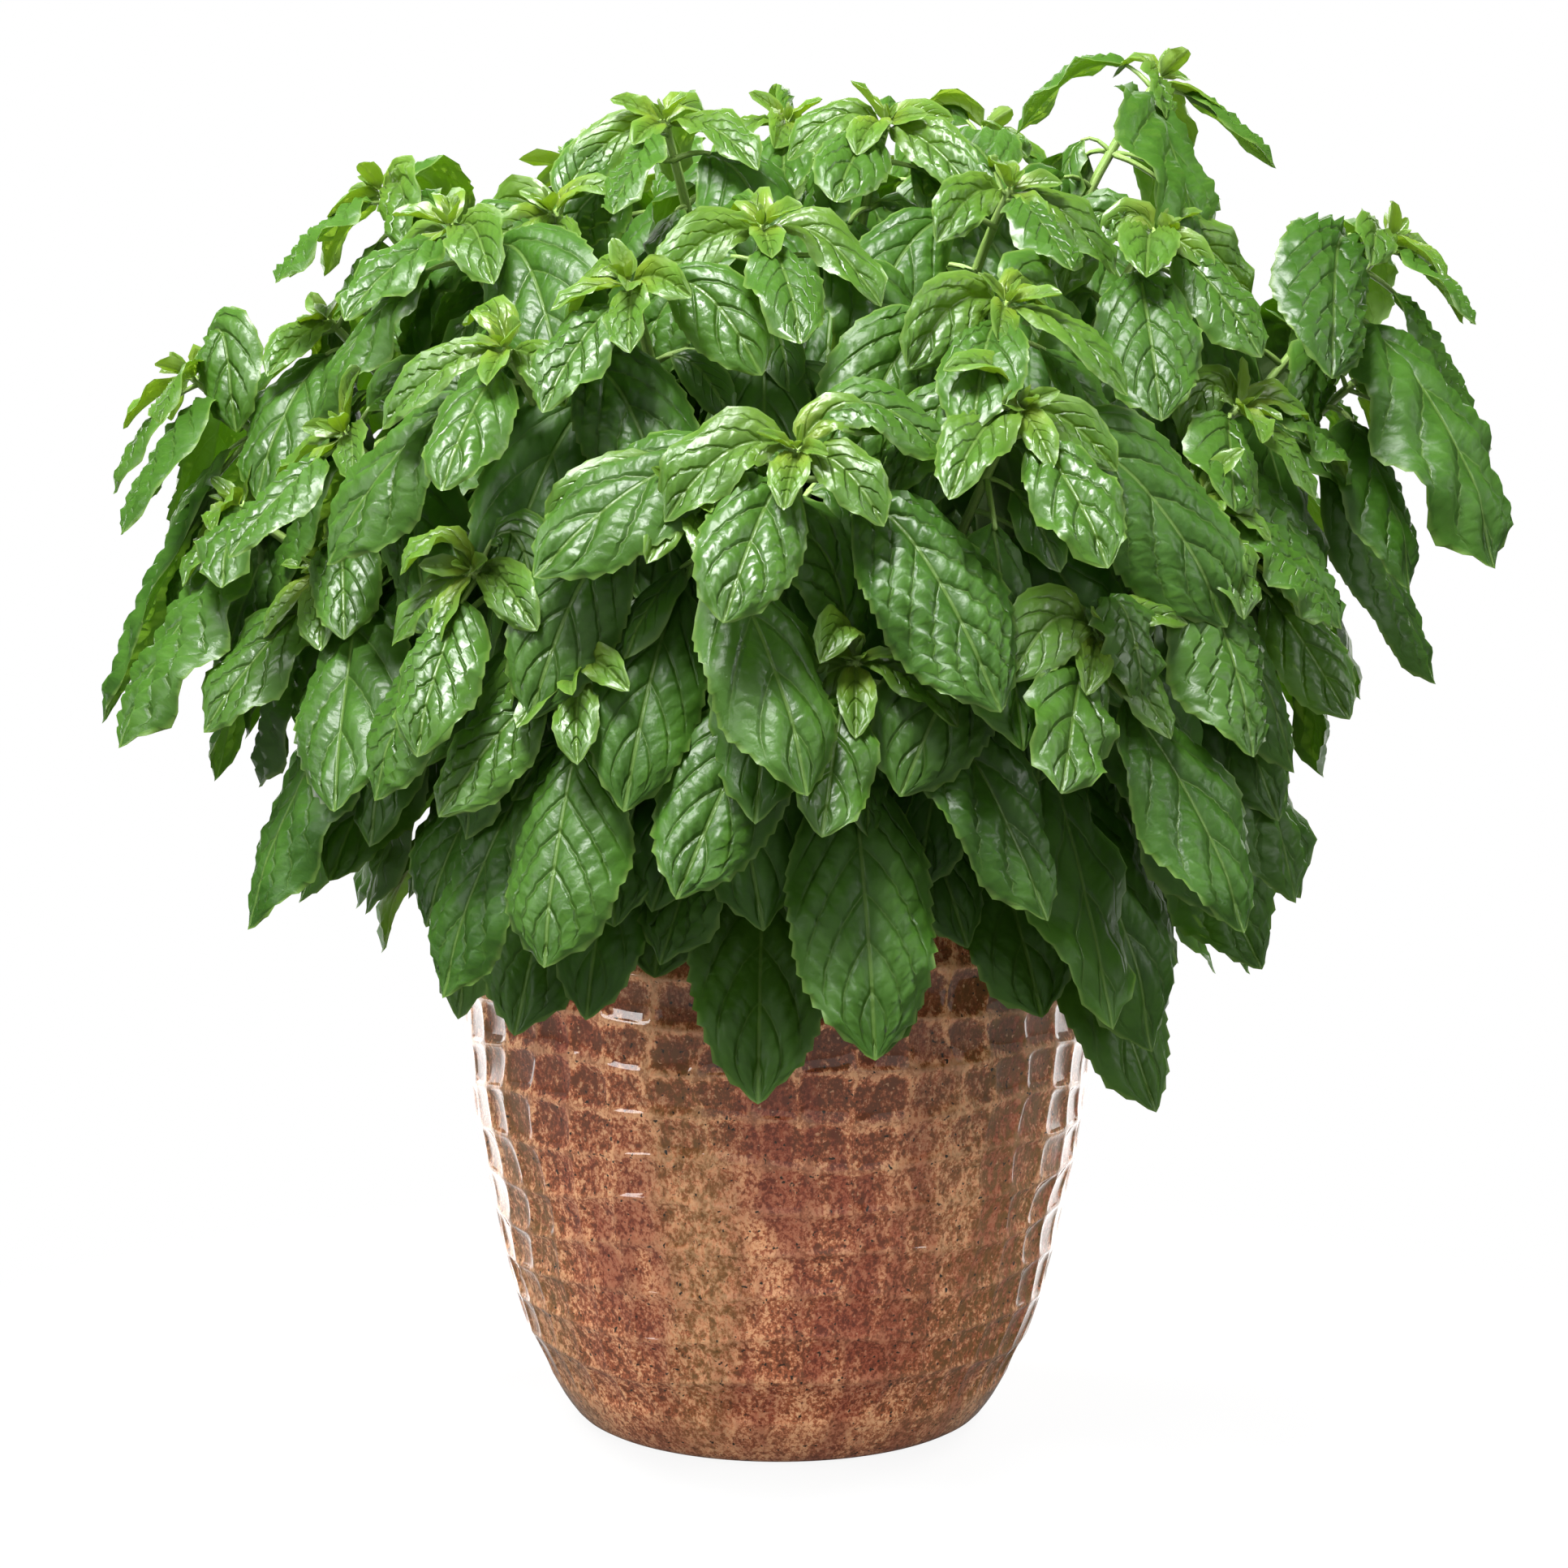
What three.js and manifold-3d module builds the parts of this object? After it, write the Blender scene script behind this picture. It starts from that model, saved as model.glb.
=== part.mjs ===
// Potted basil in a hammered glazed pot.
// Millimetres, +Z up. The origin is the middle of the pot's flat foot and the front is -Y.
import * as THREE from 'three';
import Module from 'manifold-3d';

const wasm = await Module();
wasm.setup();
const { Manifold, Mesh } = wasm;

// Pot
const POT_HEIGHT = 198;
const POT_RADIUS = 117;
const POT_WALL = 9;
const POT_FLOOR = 12;
const INNER_SIDES = 24;
const DIMPLE_COLUMNS = 42;
const DIMPLE_ROWS = 11;
const DIMPLE_FOOT = 17;
const DIMPLE_TOP = 190;
const DIMPLE_DEPTH = 1.5;
// Outer wall: height and radius of the ridges
const POT_PROFILE = [
  [0, 74.7], [7, 80.5], [19, 87], [37, 96], [55, 101], [67, 104], [85, 107.5], [97, 110.5],
  [115, 113.2], [127, 114.7], [145, 116.4], [163, 117], [175, 116.8], [198, 115],
];

// Soil and how the plants stand in it
const SOIL_TOP = 176;
const SOIL_GAP = 0.3;
// Clearance at the soil's own corners and at the corners of the stems' holes
const SOIL_SIDE_GAP = 0.36;
const HOLE_GAP = 0.435;
const STEM_FOOT = 156;
const STEM_RADIUS = 4.2;
const SHOOT_RADIUS = 2.3;
const SHOOT_SPANS = 5;
const SHOOTS_PER_STEM = 3;
// Share of the way up the stem where each of its shoots leaves it
const FORK_SHARES = [0.76, 1, 0.88];

// Leaves
const BLADE_THICKNESS = 0.8;
const STALK_WIDTH = 1.2;
const STALK_SINK = 0.5;
const LEAF_STEPS = 24;
const CLEARANCE = 5;
const OWN_CLEARANCE = 3.4;

// Shoot tips at the front: x, y, z and the turn of the first leaf pair about the shoot
const FRONT_SHOOTS = [
  [23, -192, 278, 92],
  [6, -205, 339, 70],
  [71, -190, 352, 100],
  [-27, -200, 325, 55],
  [131, -150, 329, 150],
  [-82, -170, 372, 100],
  [-141, -112, 351, 85],
  [69, -165, 386, 60],
  [-5, -150, 411, 100],
  [-106, -110, 418, 95],
  [124, -100, 418, 105],
  [-38, -86, 456, 90],
  [75, -108, 430, 80],
  [36, -78, 457, 30],
  [3, -20, 469, 80],
  [134, -32, 482, 90],
  [214, -40, 424, 40],
  [-208, -34, 378, 85],
  [-160, -28, 398, 60],
  [150, -108, 360, 20],
  [-150, -98, 306, 70],
  [-92, -176, 305, 100],
  [158, -84, 312, 80],
  [96, -182, 285, 40],
  [-186, -62, 330, 20],
  [-45, -165, 392, 20],
  [-74, -100, 424, 60],
  [204, -34, 376, 100],
  [-60, -190, 275, 30],
  [-140, -34, 442, 120],
];
// Rings of shoots round the sides and back: count, reach, first and last bearing, height
const SHOOT_RINGS = [
  [5, 172, 20, 162, 322],
  [5, 184, 14, 166, 376],
  [4, 168, 30, 150, 422],
  [4, 80, 14, 166, 460],
];
// Leaf pairs down a shoot: way back from the tip, length, width share, rise and droop
const LEAF_PAIRS = [
  [4, 60, 0.44, 26, 0.66],
  [13, 90, 0.42, 18, 0.84],
  [30, 106, 0.38, 10, 0.95],
  [56, 110, 0.39, 5, 0.98],
];
const PAIR_ORDER = [1, 0, 2, 3];
// Long-stalked old leaves over the rim: bearing, reach, height, length, width and roll
const RIM_LEAVES = [
  [-118, 134, 240, 92, 43, 4],
  [-106, 128, 216, 44, 31, 0],
  [-92, 132, 228, 98, 45, 0],
  [-78, 131, 208, 62, 36, 5],
  [-60, 132, 232, 78, 41, -8],
  [-49, 131, 216, 56, 31, 12],
  [-47, 134, 214, 96, 41, 0],
  [-24, 148, 234, 74, 40, -20],
  [-134, 138, 248, 66, 36, -10],
  [-148, 148, 262, 68, 36, 15],
  [-168, 144, 252, 72, 36, -15],
  [-6, 140, 232, 80, 38, 10],
  [14, 136, 226, 84, 38, -10],
  [38, 135, 222, 82, 38, 20],
  [64, 136, 228, 86, 40, 0],
  [92, 135, 220, 82, 38, -20],
  [124, 136, 230, 86, 38, 12],
  [158, 138, 232, 82, 38, 6],
];
// What a leaf may do to hang clear of the others: swing, extra droop, share of its size
const LEAF_TRIES = [
  [0, 0, 1], [13, 0, 1], [-13, 0, 1], [0, 0.12, 1], [0, -0.16, 1],
  [26, 0.08, 0.94], [-26, 0.08, 0.94], [40, 0, 0.88], [-40, 0, 0.88],
  [0, 0.06, 0.8], [18, -0.12, 0.78], [-18, -0.12, 0.78],
  [30, -0.2, 0.7], [-30, -0.2, 0.7], [0, -0.05, 0.64],
];

const UP = new THREE.Vector3(0, 0, 1);
const rad = THREE.MathUtils.degToRad;

// Small helpers on vectors; each returns a new one
const vec = (x, y, z) => new THREE.Vector3(x, y, z);
const add = (a, b, k = 1) => a.clone().addScaledVector(b, k);
const sub = (a, b) => a.clone().sub(b);
const cross = (a, b) => new THREE.Vector3().crossVectors(a, b);
const mix = (a, b, t) => add(a, sub(b, a), t);
const unit = (a) => a.clone().multiplyScalar(1 / a.length());

// Seeded numbers from 0 to 1
function stream(seed) {
  let state = (seed * 40503 + 12345) % 4294967296;
  const draw = () => {
    state = (state * 1664525 + 1013904223) % 4294967296;
    return state / 4294967296;
  };
  draw();
  draw();
  return draw;
}

function outward(p) {
  const r = Math.hypot(p.x, p.y);
  return vec(p.x / r, p.y / r, 0);
}

function polar(radius, bearing, z) {
  return vec(radius * Math.cos(rad(bearing)), radius * Math.sin(rad(bearing)), z);
}

function bezier(a, b, c, d, t) {
  const u = 1 - t;
  return vec(0, 0, 0)
    .addScaledVector(a, u * u * u)
    .addScaledVector(b, 3 * u * u * t)
    .addScaledVector(c, 3 * u * t * t)
    .addScaledVector(d, t * t * t);
}

function curvePoints(a, b, c, d, spans) {
  return Array.from({ length: spans + 1 }, (_, k) => bezier(a, b, c, d, k / spans));
}

// Shoots: their tips, then the main stems that carry three of them each
function shootTips() {
  const tips = FRONT_SHOOTS.map(([x, y, z, turn]) => ({ tip: vec(x, y, z), turn }));
  SHOOT_RINGS.forEach(([count, radius, first, last, height], index) => {
    const draw = stream(500 + index);
    for (let k = 0; k < count; k += 1) {
      const bearing = first + (last - first) * k / (count - 1) + 10 * (draw() - 0.5);
      const reach = radius * (0.94 + 0.12 * draw());
      const z = height + 28 * (draw() - 0.5);
      tips.push({ tip: polar(reach, bearing, z), turn: 60 + 60 * draw() });
    }
  });
  tips.forEach((shoot, k) => {
    shoot.id = k;
    shoot.reach = Math.hypot(shoot.tip.x, shoot.tip.y);
    shoot.bearing = Math.atan2(shoot.tip.y, shoot.tip.x);
  });
  return tips;
}

function tipRise(height) {
  return 28 + 24 * Math.min(1, Math.max(0, (height - 300) / 150));
}

function growShoots() {
  const tips = shootTips();
  const byBearing = (a, b) => a.bearing - b.bearing;
  const outer = tips.filter((s) => s.reach >= 125).sort(byBearing);
  const inner = tips.filter((s) => s.reach < 125).sort(byBearing);
  const stems = [];
  for (const [members, baseReach, forkRise] of [[outer, 62, 40], [inner, 26, 62]]) {
    for (let first = 0; first < members.length; first += SHOOTS_PER_STEM) {
      const group = members.slice(first, first + SHOOTS_PER_STEM);
      const sum = group.reduce((total, s) => total.add(s.tip), vec(0, 0, 0));
      const o = outward(sum);
      const base = add(o.clone().multiplyScalar(baseReach), UP, STEM_FOOT);
      const fork = add(o.clone().multiplyScalar(baseReach * 1.25), UP, SOIL_TOP + forkRise);
      const stem = { id: stems.length, base, fork, shoots: group };
      stems.push(stem);
      group.forEach((s, k) => {
        const root = mix(base, fork, FORK_SHARES[k]);
        const gap = sub(s.tip, root);
        const reach = gap.length();
        const rise = rad(tipRise(s.tip.z));
        const axis = unit(add(outward(s.tip).multiplyScalar(Math.cos(rise)), UP, Math.sin(rise)));
        const lead = unit(add(gap, UP, reach * 0.5));
        const b = add(root, lead, reach * 0.33);
        const c = add(s.tip, axis, -reach * 0.38);
        s.spans = curvePoints(root, b, c, s.tip, SHOOT_SPANS);
        s.stem = stem.id;
      });
    }
  }
  return { shoots: tips, stems };
}

// The point and direction a given way back from the end of a curve
function along(curve, distance) {
  let left = distance;
  for (let k = curve.length - 1; k > 0; k -= 1) {
    const step = sub(curve[k], curve[k - 1]);
    const length = step.length();
    if (left <= length || k === 1) {
      return [add(curve[k], step, -Math.min(1, left / length)), step.multiplyScalar(1 / length)];
    }
    left -= length;
  }
  return null;
}

// Leaves: a drooping midrib and a blade rolled towards the light
function bladeShape(u) {
  if (u <= 0 || u >= 1) return 0;
  const tip = Math.max(0, (u - 0.7) / 0.3);
  return u ** 0.66 * (1 - u) ** 0.82 / 0.3578 * (1 - 0.42 * tip * tip);
}

function makeLeaf(node, axis, side, length, width, rise, droop, turn, roll, stalk, cup) {
  const start = unit(add(side.clone().multiplyScalar(Math.cos(rad(rise))), axis, Math.sin(rad(rise))));
  const hang = unit(add(vec(side.x * 0.28, side.y * 0.28, -1), outward(node), 0.22));
  const across = unit(cross(start, hang));
  const mid = [node];
  const way = [];
  for (let k = 0; k < LEAF_STEPS; k += 1) {
    const s = (k + 0.5) / LEAF_STEPS;
    const w = droop * (1 - (1 - s) ** 3);
    way.push(unit(add(start.clone().multiplyScalar(1 - w), hang, w)));
    mid.push(add(mid[k], way[k], length / LEAF_STEPS));
  }
  const face = cross(way[LEAF_STEPS / 2], across);
  const front = 0.55 * Math.min(1, Math.max(0, 0.5 - node.y / 160));
  const light = add(vec(0, -front, 0.6), outward(node), 0.6);
  const full = Math.atan2(light.dot(across), light.dot(face));
  const swing = Math.max(-1.2, Math.min(1.2, full)) * turn + rad(roll);
  return { mid, way, across, swing, length, width, stalk, cup };
}

function leafFrame(leaf, s) {
  const x = Math.min(Math.max(s, 0), 1) * LEAF_STEPS;
  const k = Math.min(Math.floor(x), LEAF_STEPS - 1);
  const face = cross(leaf.way[k], leaf.across);
  const a = leaf.swing * Math.min(1, s / (leaf.stalk + 0.12));
  return {
    point: mix(leaf.mid[k], leaf.mid[k + 1], x - k),
    across: add(leaf.across.clone().multiplyScalar(Math.cos(a)), face, -Math.sin(a)),
    face: add(face.multiplyScalar(Math.cos(a)), leaf.across, Math.sin(a)),
  };
}

function leafRow(leaf, u) {
  const { point, across, face } = leafFrame(leaf, leaf.stalk + (1 - leaf.stalk) * u);
  const half = leaf.width / 2 * bladeShape(u);
  const drop = leaf.cup * half;
  const edge = (t) => add(add(point, across, t * half), face, -drop * t * t);
  return { points: [edge(-1), point, edge(1)], across, face };
}

// Points spread over a leaf's blade and down its stalk, to test that it hangs clear
function leafSamples(leaf) {
  const rows = leaf.stations.map((u) => leafRow(leaf, u).points);
  const parts = 12 / (rows.length - 1);
  const blade = [];
  for (let k = 0; k < rows.length - 1; k += 1) {
    for (let part = 0; part < parts; part += 1) {
      const [left, middle, right] = rows[k].map((p, j) => mix(p, rows[k + 1][j], part / parts));
      for (const t of [0, 0.33, 0.67, 1]) blade.push(mix(middle, left, t));
      for (const t of [0.33, 0.67, 1]) blade.push(mix(middle, right, t));
    }
  }
  blade.push(rows[rows.length - 1][1]);
  const stalk = [0, 1, 2, 3].map((k) => mix(leaf.mid[0], rows[0][1], k / 4));
  return { blade, stalk };
}

function splitLine(points, step) {
  const out = [];
  for (let k = 0; k < points.length - 1; k += 1) {
    const count = Math.max(1, Math.ceil(sub(points[k + 1], points[k]).length() / step));
    for (let j = 0; j < count; j += 1) out.push(mix(points[k], points[k + 1], j / count));
  }
  out.push(points[points.length - 1]);
  return out;
}

// A cloud of points with a ball round it
function cloud(points, owner) {
  const centre = points.reduce((total, p) => total.add(p), vec(0, 0, 0)).multiplyScalar(1 / points.length);
  const radius = Math.max(...points.map((p) => p.distanceTo(centre)));
  return { points, centre, radius, owner };
}

function apart(a, b, gap) {
  if (a.centre.distanceTo(b.centre) > a.radius + b.radius + gap) return true;
  for (const p of a.points) {
    for (const q of b.points) {
      const x = p.x - q.x;
      const y = p.y - q.y;
      const z = p.z - q.z;
      if (x * x + y * y + z * z < gap * gap) return false;
    }
  }
  return true;
}

function hitsPot(points) {
  return points.some((p) => {
    const r = Math.hypot(p.x, p.y);
    const outside = r > POT_RADIUS + 5;
    const inside = p.z > SOIL_TOP + 6 && r < POT_RADIUS - POT_WALL - 6;
    return p.z < 40 || (p.z < POT_HEIGHT + 5 && !outside && !inside);
  });
}

function rimLeaves(stems) {
  return RIM_LEAVES.map(([bearing, reach, height, length, width, roll], k) => {
    const top = polar(reach - 6, bearing, height);
    const near = (stem) => stem.fork.distanceToSquared(top);
    const stem = stems.reduce((best, s) => (near(s) < near(best) ? s : best));
    const start = mix(stem.base, stem.fork, 0.78);
    const o = outward(top);
    const b = add(add(start, UP, 26), o, 12);
    const c = add(add(top, o, -26), UP, 12);
    const leaf = makeLeaf(top, UP, o, length, width, -42, 0.97, 1, roll, 0.03, 0.2);
    return Object.assign(leaf, {
      stemCurve: curvePoints(start, b, c, top, 3),
      shoot: 900 + k,
      stem: stem.id,
      stations: [0, 0.3, 0.68, 1],
    });
  });
}

function placeLeaf(shoot, level, half, clouds) {
  const [distance, fullLength, share, fullRise, fullDroop] = LEAF_PAIRS[level];
  const [node, up] = along(shoot.spans, distance);
  const right = cross(UP, outward(shoot.tip));
  const u0 = unit(add(right, up, -right.dot(up)));
  const v0 = cross(up, u0);
  const draw = stream(1000 + shoot.id * 40 + level * 4 + half);
  const bearing = shoot.turn + 90 * level + 180 * half + 24 * (draw() - 0.5);
  const length = fullLength * (0.86 + 0.28 * draw());
  const width = length * share * (0.9 + 0.2 * draw());
  const rise = fullRise + 16 * (draw() - 0.5);
  const droop = fullDroop + 0.2 * (draw() - 0.5);
  const roll = 50 * (draw() - 0.5);
  const cup = 0.2 + 0.35 * draw();
  const stalk = 0.12 + 0.1 * draw();
  for (const [swing, more, keep] of LEAF_TRIES) {
    const a = rad(bearing + swing);
    const side = add(u0.clone().multiplyScalar(Math.cos(a)), v0, Math.sin(a));
    const hang = Math.min(0.98, Math.max(0.1, droop + more));
    const leaf = makeLeaf(node, up, side, length * keep, width * keep, rise, hang, 0.88, roll, stalk, cup);
    leaf.stations = level % 3 === 0 || (level === 2 && shoot.tip.y > 0) ? [0, 0.42, 1] : [0, 0.3, 0.68, 1];
    const points = leafSamples(leaf);
    if (hitsPot(points.blade)) continue;
    const blade = cloud(points.blade, shoot.id);
    const foot = cloud(points.stalk, shoot.id);
    const clear = clouds.every((other) => {
      const own = other.owner === shoot.id;
      return apart(blade, other, own ? OWN_CLEARANCE : CLEARANCE) && (own || apart(foot, other, CLEARANCE));
    });
    if (clear) {
      clouds.push(blade, foot);
      return Object.assign(leaf, { shoot: shoot.id, stem: shoot.stem, level, half });
    }
  }
  return null;
}

function growPlant() {
  const { shoots, stems } = growShoots();
  const clouds = shoots.map((s) => cloud(splitLine(s.spans, 4), s.id));
  for (const s of stems) clouds.push(cloud(splitLine([s.base, s.fork], 4), -1));
  const leaves = rimLeaves(stems);
  for (const leaf of leaves) {
    clouds.push(cloud(leafSamples(leaf).blade, leaf.shoot));
    clouds.push(cloud(splitLine(leaf.stemCurve, 4), leaf.shoot));
  }
  for (const level of PAIR_ORDER) {
    for (const shoot of shoots) {
      for (const half of [0, 1]) {
        const leaf = placeLeaf(shoot, level, half, clouds);
        if (leaf) leaves.push(leaf);
      }
    }
  }
  return { shoots, stems, leaves };
}

// Solids
function solid(points, faces) {
  const mesh = new Mesh({
    numProp: 3,
    vertProperties: new Float32Array(points.flatMap((p) => [p.x, p.y, p.z])),
    triVerts: new Uint32Array(faces.flat()),
  });
  return new Manifold(mesh);
}

// A leaf blade of even thickness on a three-cornered stalk, split alike on both faces.
// An old leaf over the rim has a long curved stalk.
function leafSolid(leaf) {
  const rows = leaf.stations.slice(1, -1).map((u) => leafRow(leaf, u));
  const tip = leafRow(leaf, 1);
  const base = leafRow(leaf, 0);
  const points = [];
  const put = (p) => points.push(p) - 1;
  const lift = BLADE_THICKNESS / 2;
  const ring = (p, face) => [
    put(add(add(p, base.across, -STALK_WIDTH / 2), face, lift)),
    put(add(add(p, base.across, STALK_WIDTH / 2), face, lift)),
    put(add(p, face, -STALK_WIDTH * 0.6)),
  ];
  const foot = add(leaf.mid[0], unit(sub(base.points[1], leaf.mid[0])), STALK_SINK);
  const line = [...(leaf.stemCurve ? leaf.stemCurve.slice(0, -1) : [foot]), base.points[1]];
  const rings = line.map((p, k) => {
    if (k === line.length - 1) return ring(p, base.face);
    const way = sub(line[k + 1], line[Math.max(0, k - 1)]);
    return ring(p, unit(cross(way, base.across)));
  });
  const faces = [[rings[0][0], rings[0][1], rings[0][2]]];
  for (let k = 0; k < rings.length - 1; k += 1) {
    for (let j = 0; j < 3; j += 1) {
      const i = (j + 1) % 3;
      faces.push([rings[k][j], rings[k + 1][j], rings[k + 1][i]], [rings[k][j], rings[k + 1][i], rings[k][i]]);
    }
  }
  const [a, b, c] = rings[rings.length - 1];
  const over = rows.map((row) => row.points.map((p) => put(add(p, row.face, lift))));
  const under = rows.map((row) => row.points.map((p) => put(add(p, row.face, -lift))));
  const end = put(tip.points[1]);
  const [l, m, r] = over[0];
  const [lu, mu, ru] = under[0];
  faces.push([a, m, b], [a, l, m], [b, m, r], [c, mu, lu], [c, ru, mu]);
  faces.push([a, c, lu], [a, lu, l], [b, r, ru], [b, ru, c]);
  for (let k = 0; k < over.length - 1; k += 1) {
    const [l0, m0, r0] = over[k];
    const [l1, m1, r1] = over[k + 1];
    const [lu0, mu0, ru0] = under[k];
    const [lu1, mu1, ru1] = under[k + 1];
    faces.push([l0, m1, m0], [l0, l1, m1], [m0, r1, r0], [m0, m1, r1]);
    faces.push([lu0, mu0, mu1], [lu0, mu1, lu1], [mu0, ru0, ru1], [mu0, ru1, mu1]);
    faces.push([l0, lu0, lu1], [l0, lu1, l1], [r0, r1, ru1], [r0, ru1, ru0]);
  }
  const [l2, m2, r2] = over[over.length - 1];
  const [lu2, mu2, ru2] = under[under.length - 1];
  faces.push([l2, end, m2], [m2, end, r2], [lu2, mu2, end], [mu2, ru2, end], [l2, lu2, end], [r2, end, ru2]);
  return solid(points, faces);
}

// A straight-sided rod through a line of points, tapering to its end
function rodSolid(points, radius, endRadius, sides) {
  const ring = [];
  const side = outward(points[points.length - 1]);
  points.forEach((p, k) => {
    const before = points[Math.max(0, k - 1)];
    const after = points[Math.min(points.length - 1, k + 1)];
    const d = unit(sub(after, before));
    const x = unit(cross(d, side));
    const y = cross(d, x);
    const r = radius + (endRadius - radius) * k / (points.length - 1);
    for (let j = 0; j < sides; j += 1) {
      const a = (j + 0.5) / sides * 2 * Math.PI;
      ring.push(add(add(p, x, r * Math.cos(a)), y, r * Math.sin(a)));
    }
  });
  const faces = [];
  for (let k = 0; k < points.length - 1; k += 1) {
    for (let j = 0; j < sides; j += 1) {
      const i = sides * k + j;
      const next = sides * k + (j + 1) % sides;
      faces.push([i, next, next + sides], [i, next + sides, i + sides]);
    }
  }
  const last = sides * (points.length - 1);
  for (let j = 1; j < sides - 1; j += 1) {
    faces.push([0, j + 1, j], [last, last + j, last + j + 1]);
  }
  return solid(ring, faces);
}

function wallRadius(z) {
  for (let k = 0; k < POT_PROFILE.length - 1; k += 1) {
    const [z0, r0] = POT_PROFILE[k];
    const [z1, r1] = POT_PROFILE[k + 1];
    if (z <= z1) return r0 + (r1 - r0) * (z - z0) / (z1 - z0);
  }
  return POT_PROFILE[POT_PROFILE.length - 1][1];
}

// The pot's outside: rows of hammered dimples between raised ridges
function potBody() {
  const points = [];
  const rings = [];
  const addRing = (z, r, shift) => {
    rings.push(points.length);
    for (let k = 0; k < DIMPLE_COLUMNS; k += 1) {
      const a = (k + shift) / DIMPLE_COLUMNS * 2 * Math.PI;
      points.push(vec(r * Math.cos(a), r * Math.sin(a), z));
    }
  };
  const pitch = (DIMPLE_TOP - DIMPLE_FOOT) / DIMPLE_ROWS;
  addRing(0, POT_PROFILE[0][1], 0);
  for (let row = 0; row <= DIMPLE_ROWS; row += 1) {
    const z = DIMPLE_FOOT + pitch * row;
    addRing(z, wallRadius(z), 0);
  }
  addRing(POT_HEIGHT - 2.5, wallRadius(POT_HEIGHT - 2.5), 0);
  addRing(POT_HEIGHT, wallRadius(POT_HEIGHT) - 3, 0);
  const faces = [];
  for (let row = 0; row < rings.length - 1; row += 1) {
    const dimpled = row >= 1 && row <= DIMPLE_ROWS;
    const z = DIMPLE_FOOT + pitch * (row - 0.5);
    for (let k = 0; k < DIMPLE_COLUMNS; k += 1) {
      const next = (k + 1) % DIMPLE_COLUMNS;
      const [a, b, c, d] = [rings[row] + k, rings[row] + next, rings[row + 1] + next, rings[row + 1] + k];
      if (dimpled) {
        const angle = (k + 0.5) / DIMPLE_COLUMNS * 2 * Math.PI;
        const r = wallRadius(z) * Math.cos(Math.PI / DIMPLE_COLUMNS) - DIMPLE_DEPTH;
        const e = points.length;
        points.push(vec(r * Math.cos(angle), r * Math.sin(angle), z));
        faces.push([a, b, e], [b, c, e], [c, d, e], [d, a, e]);
      } else {
        faces.push([a, b, c], [a, c, d]);
      }
    }
  }
  const low = points.length;
  points.push(vec(0, 0, 0), vec(0, 0, POT_HEIGHT));
  const topRing = rings[rings.length - 1];
  for (let k = 0; k < DIMPLE_COLUMNS; k += 1) {
    const next = (k + 1) % DIMPLE_COLUMNS;
    faces.push([low, rings[0] + next, rings[0] + k], [low + 1, topRing + k, topRing + next]);
  }
  return solid(points, faces);
}

// A closed body of revolution from height and radius pairs
function turned(profile, sides) {
  const points = [];
  for (const [z, r] of profile) {
    for (let k = 0; k < sides; k += 1) {
      const a = k / sides * 2 * Math.PI;
      points.push(vec(r * Math.cos(a), r * Math.sin(a), z));
    }
  }
  const faces = [];
  for (let row = 0; row < profile.length - 1; row += 1) {
    for (let k = 0; k < sides; k += 1) {
      const next = (k + 1) % sides;
      const [a, b] = [row * sides + k, row * sides + next];
      faces.push([a, b, b + sides], [a, b + sides, a + sides]);
    }
  }
  const last = (profile.length - 1) * sides;
  for (let k = 1; k < sides - 1; k += 1) {
    faces.push([0, k + 1, k], [last, last + k, last + k + 1]);
  }
  return solid(points, faces);
}

const innerHeights = [POT_FLOOR, 40, 80, 130, SOIL_TOP, POT_HEIGHT + 1];
const innerRadius = (z) => wallRadius(z) - POT_WALL;

function potSolid() {
  const hollow = turned(innerHeights.map((z) => [z, innerRadius(z)]), INNER_SIDES);
  return potBody().subtract(hollow);
}

function stemLine(stem, extra) {
  const down = unit(sub(stem.base, stem.fork));
  return [add(stem.base, down, extra), stem.fork];
}

function soilSolid(stems) {
  const heights = [POT_FLOOR + SOIL_GAP, ...innerHeights.slice(1, 5)];
  let soil = turned(heights.map((z) => [z, innerRadius(z) - SOIL_SIDE_GAP]), INNER_SIDES);
  for (const stem of stems) {
    const wide = STEM_RADIUS + HOLE_GAP;
    soil = soil.subtract(rodSolid(stemLine(stem, SOIL_GAP), wide, wide, 4));
  }
  return soil;
}

function stemSolid(stem, leaves) {
  const pieces = [rodSolid(stemLine(stem, 0), STEM_RADIUS, STEM_RADIUS, 4)];
  for (const s of stem.shoots) {
    pieces.push(rodSolid(s.spans, SHOOT_RADIUS, SHOOT_RADIUS, 3));
  }
  for (const leaf of leaves.filter((item) => item.stem === stem.id)) {
    pieces.push(leafSolid(leaf));
  }
  return Manifold.union(pieces);
}

function meshOf(body, name, material) {
  const flat = body.getMesh();
  const geometry = new THREE.BufferGeometry();
  const places = [];
  for (let k = 0; k < flat.numVert; k += 1) {
    places.push(...flat.vertProperties.slice(k * flat.numProp, k * flat.numProp + 3));
  }
  geometry.setAttribute('position', new THREE.Float32BufferAttribute(places, 3));
  geometry.setIndex(Array.from(flat.triVerts));
  const mesh = new THREE.Mesh(geometry, material);
  mesh.name = name;
  return mesh;
}

const glaze = new THREE.MeshStandardMaterial({ color: 0x8f4630, roughness: 0.15, metalness: 0 });
const earth = new THREE.MeshStandardMaterial({ color: 0x2b1f16, roughness: 0.9, metalness: 0 });
const foliage = new THREE.MeshStandardMaterial({ color: 0x2f6f1f, roughness: 0.45, metalness: 0 });

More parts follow.
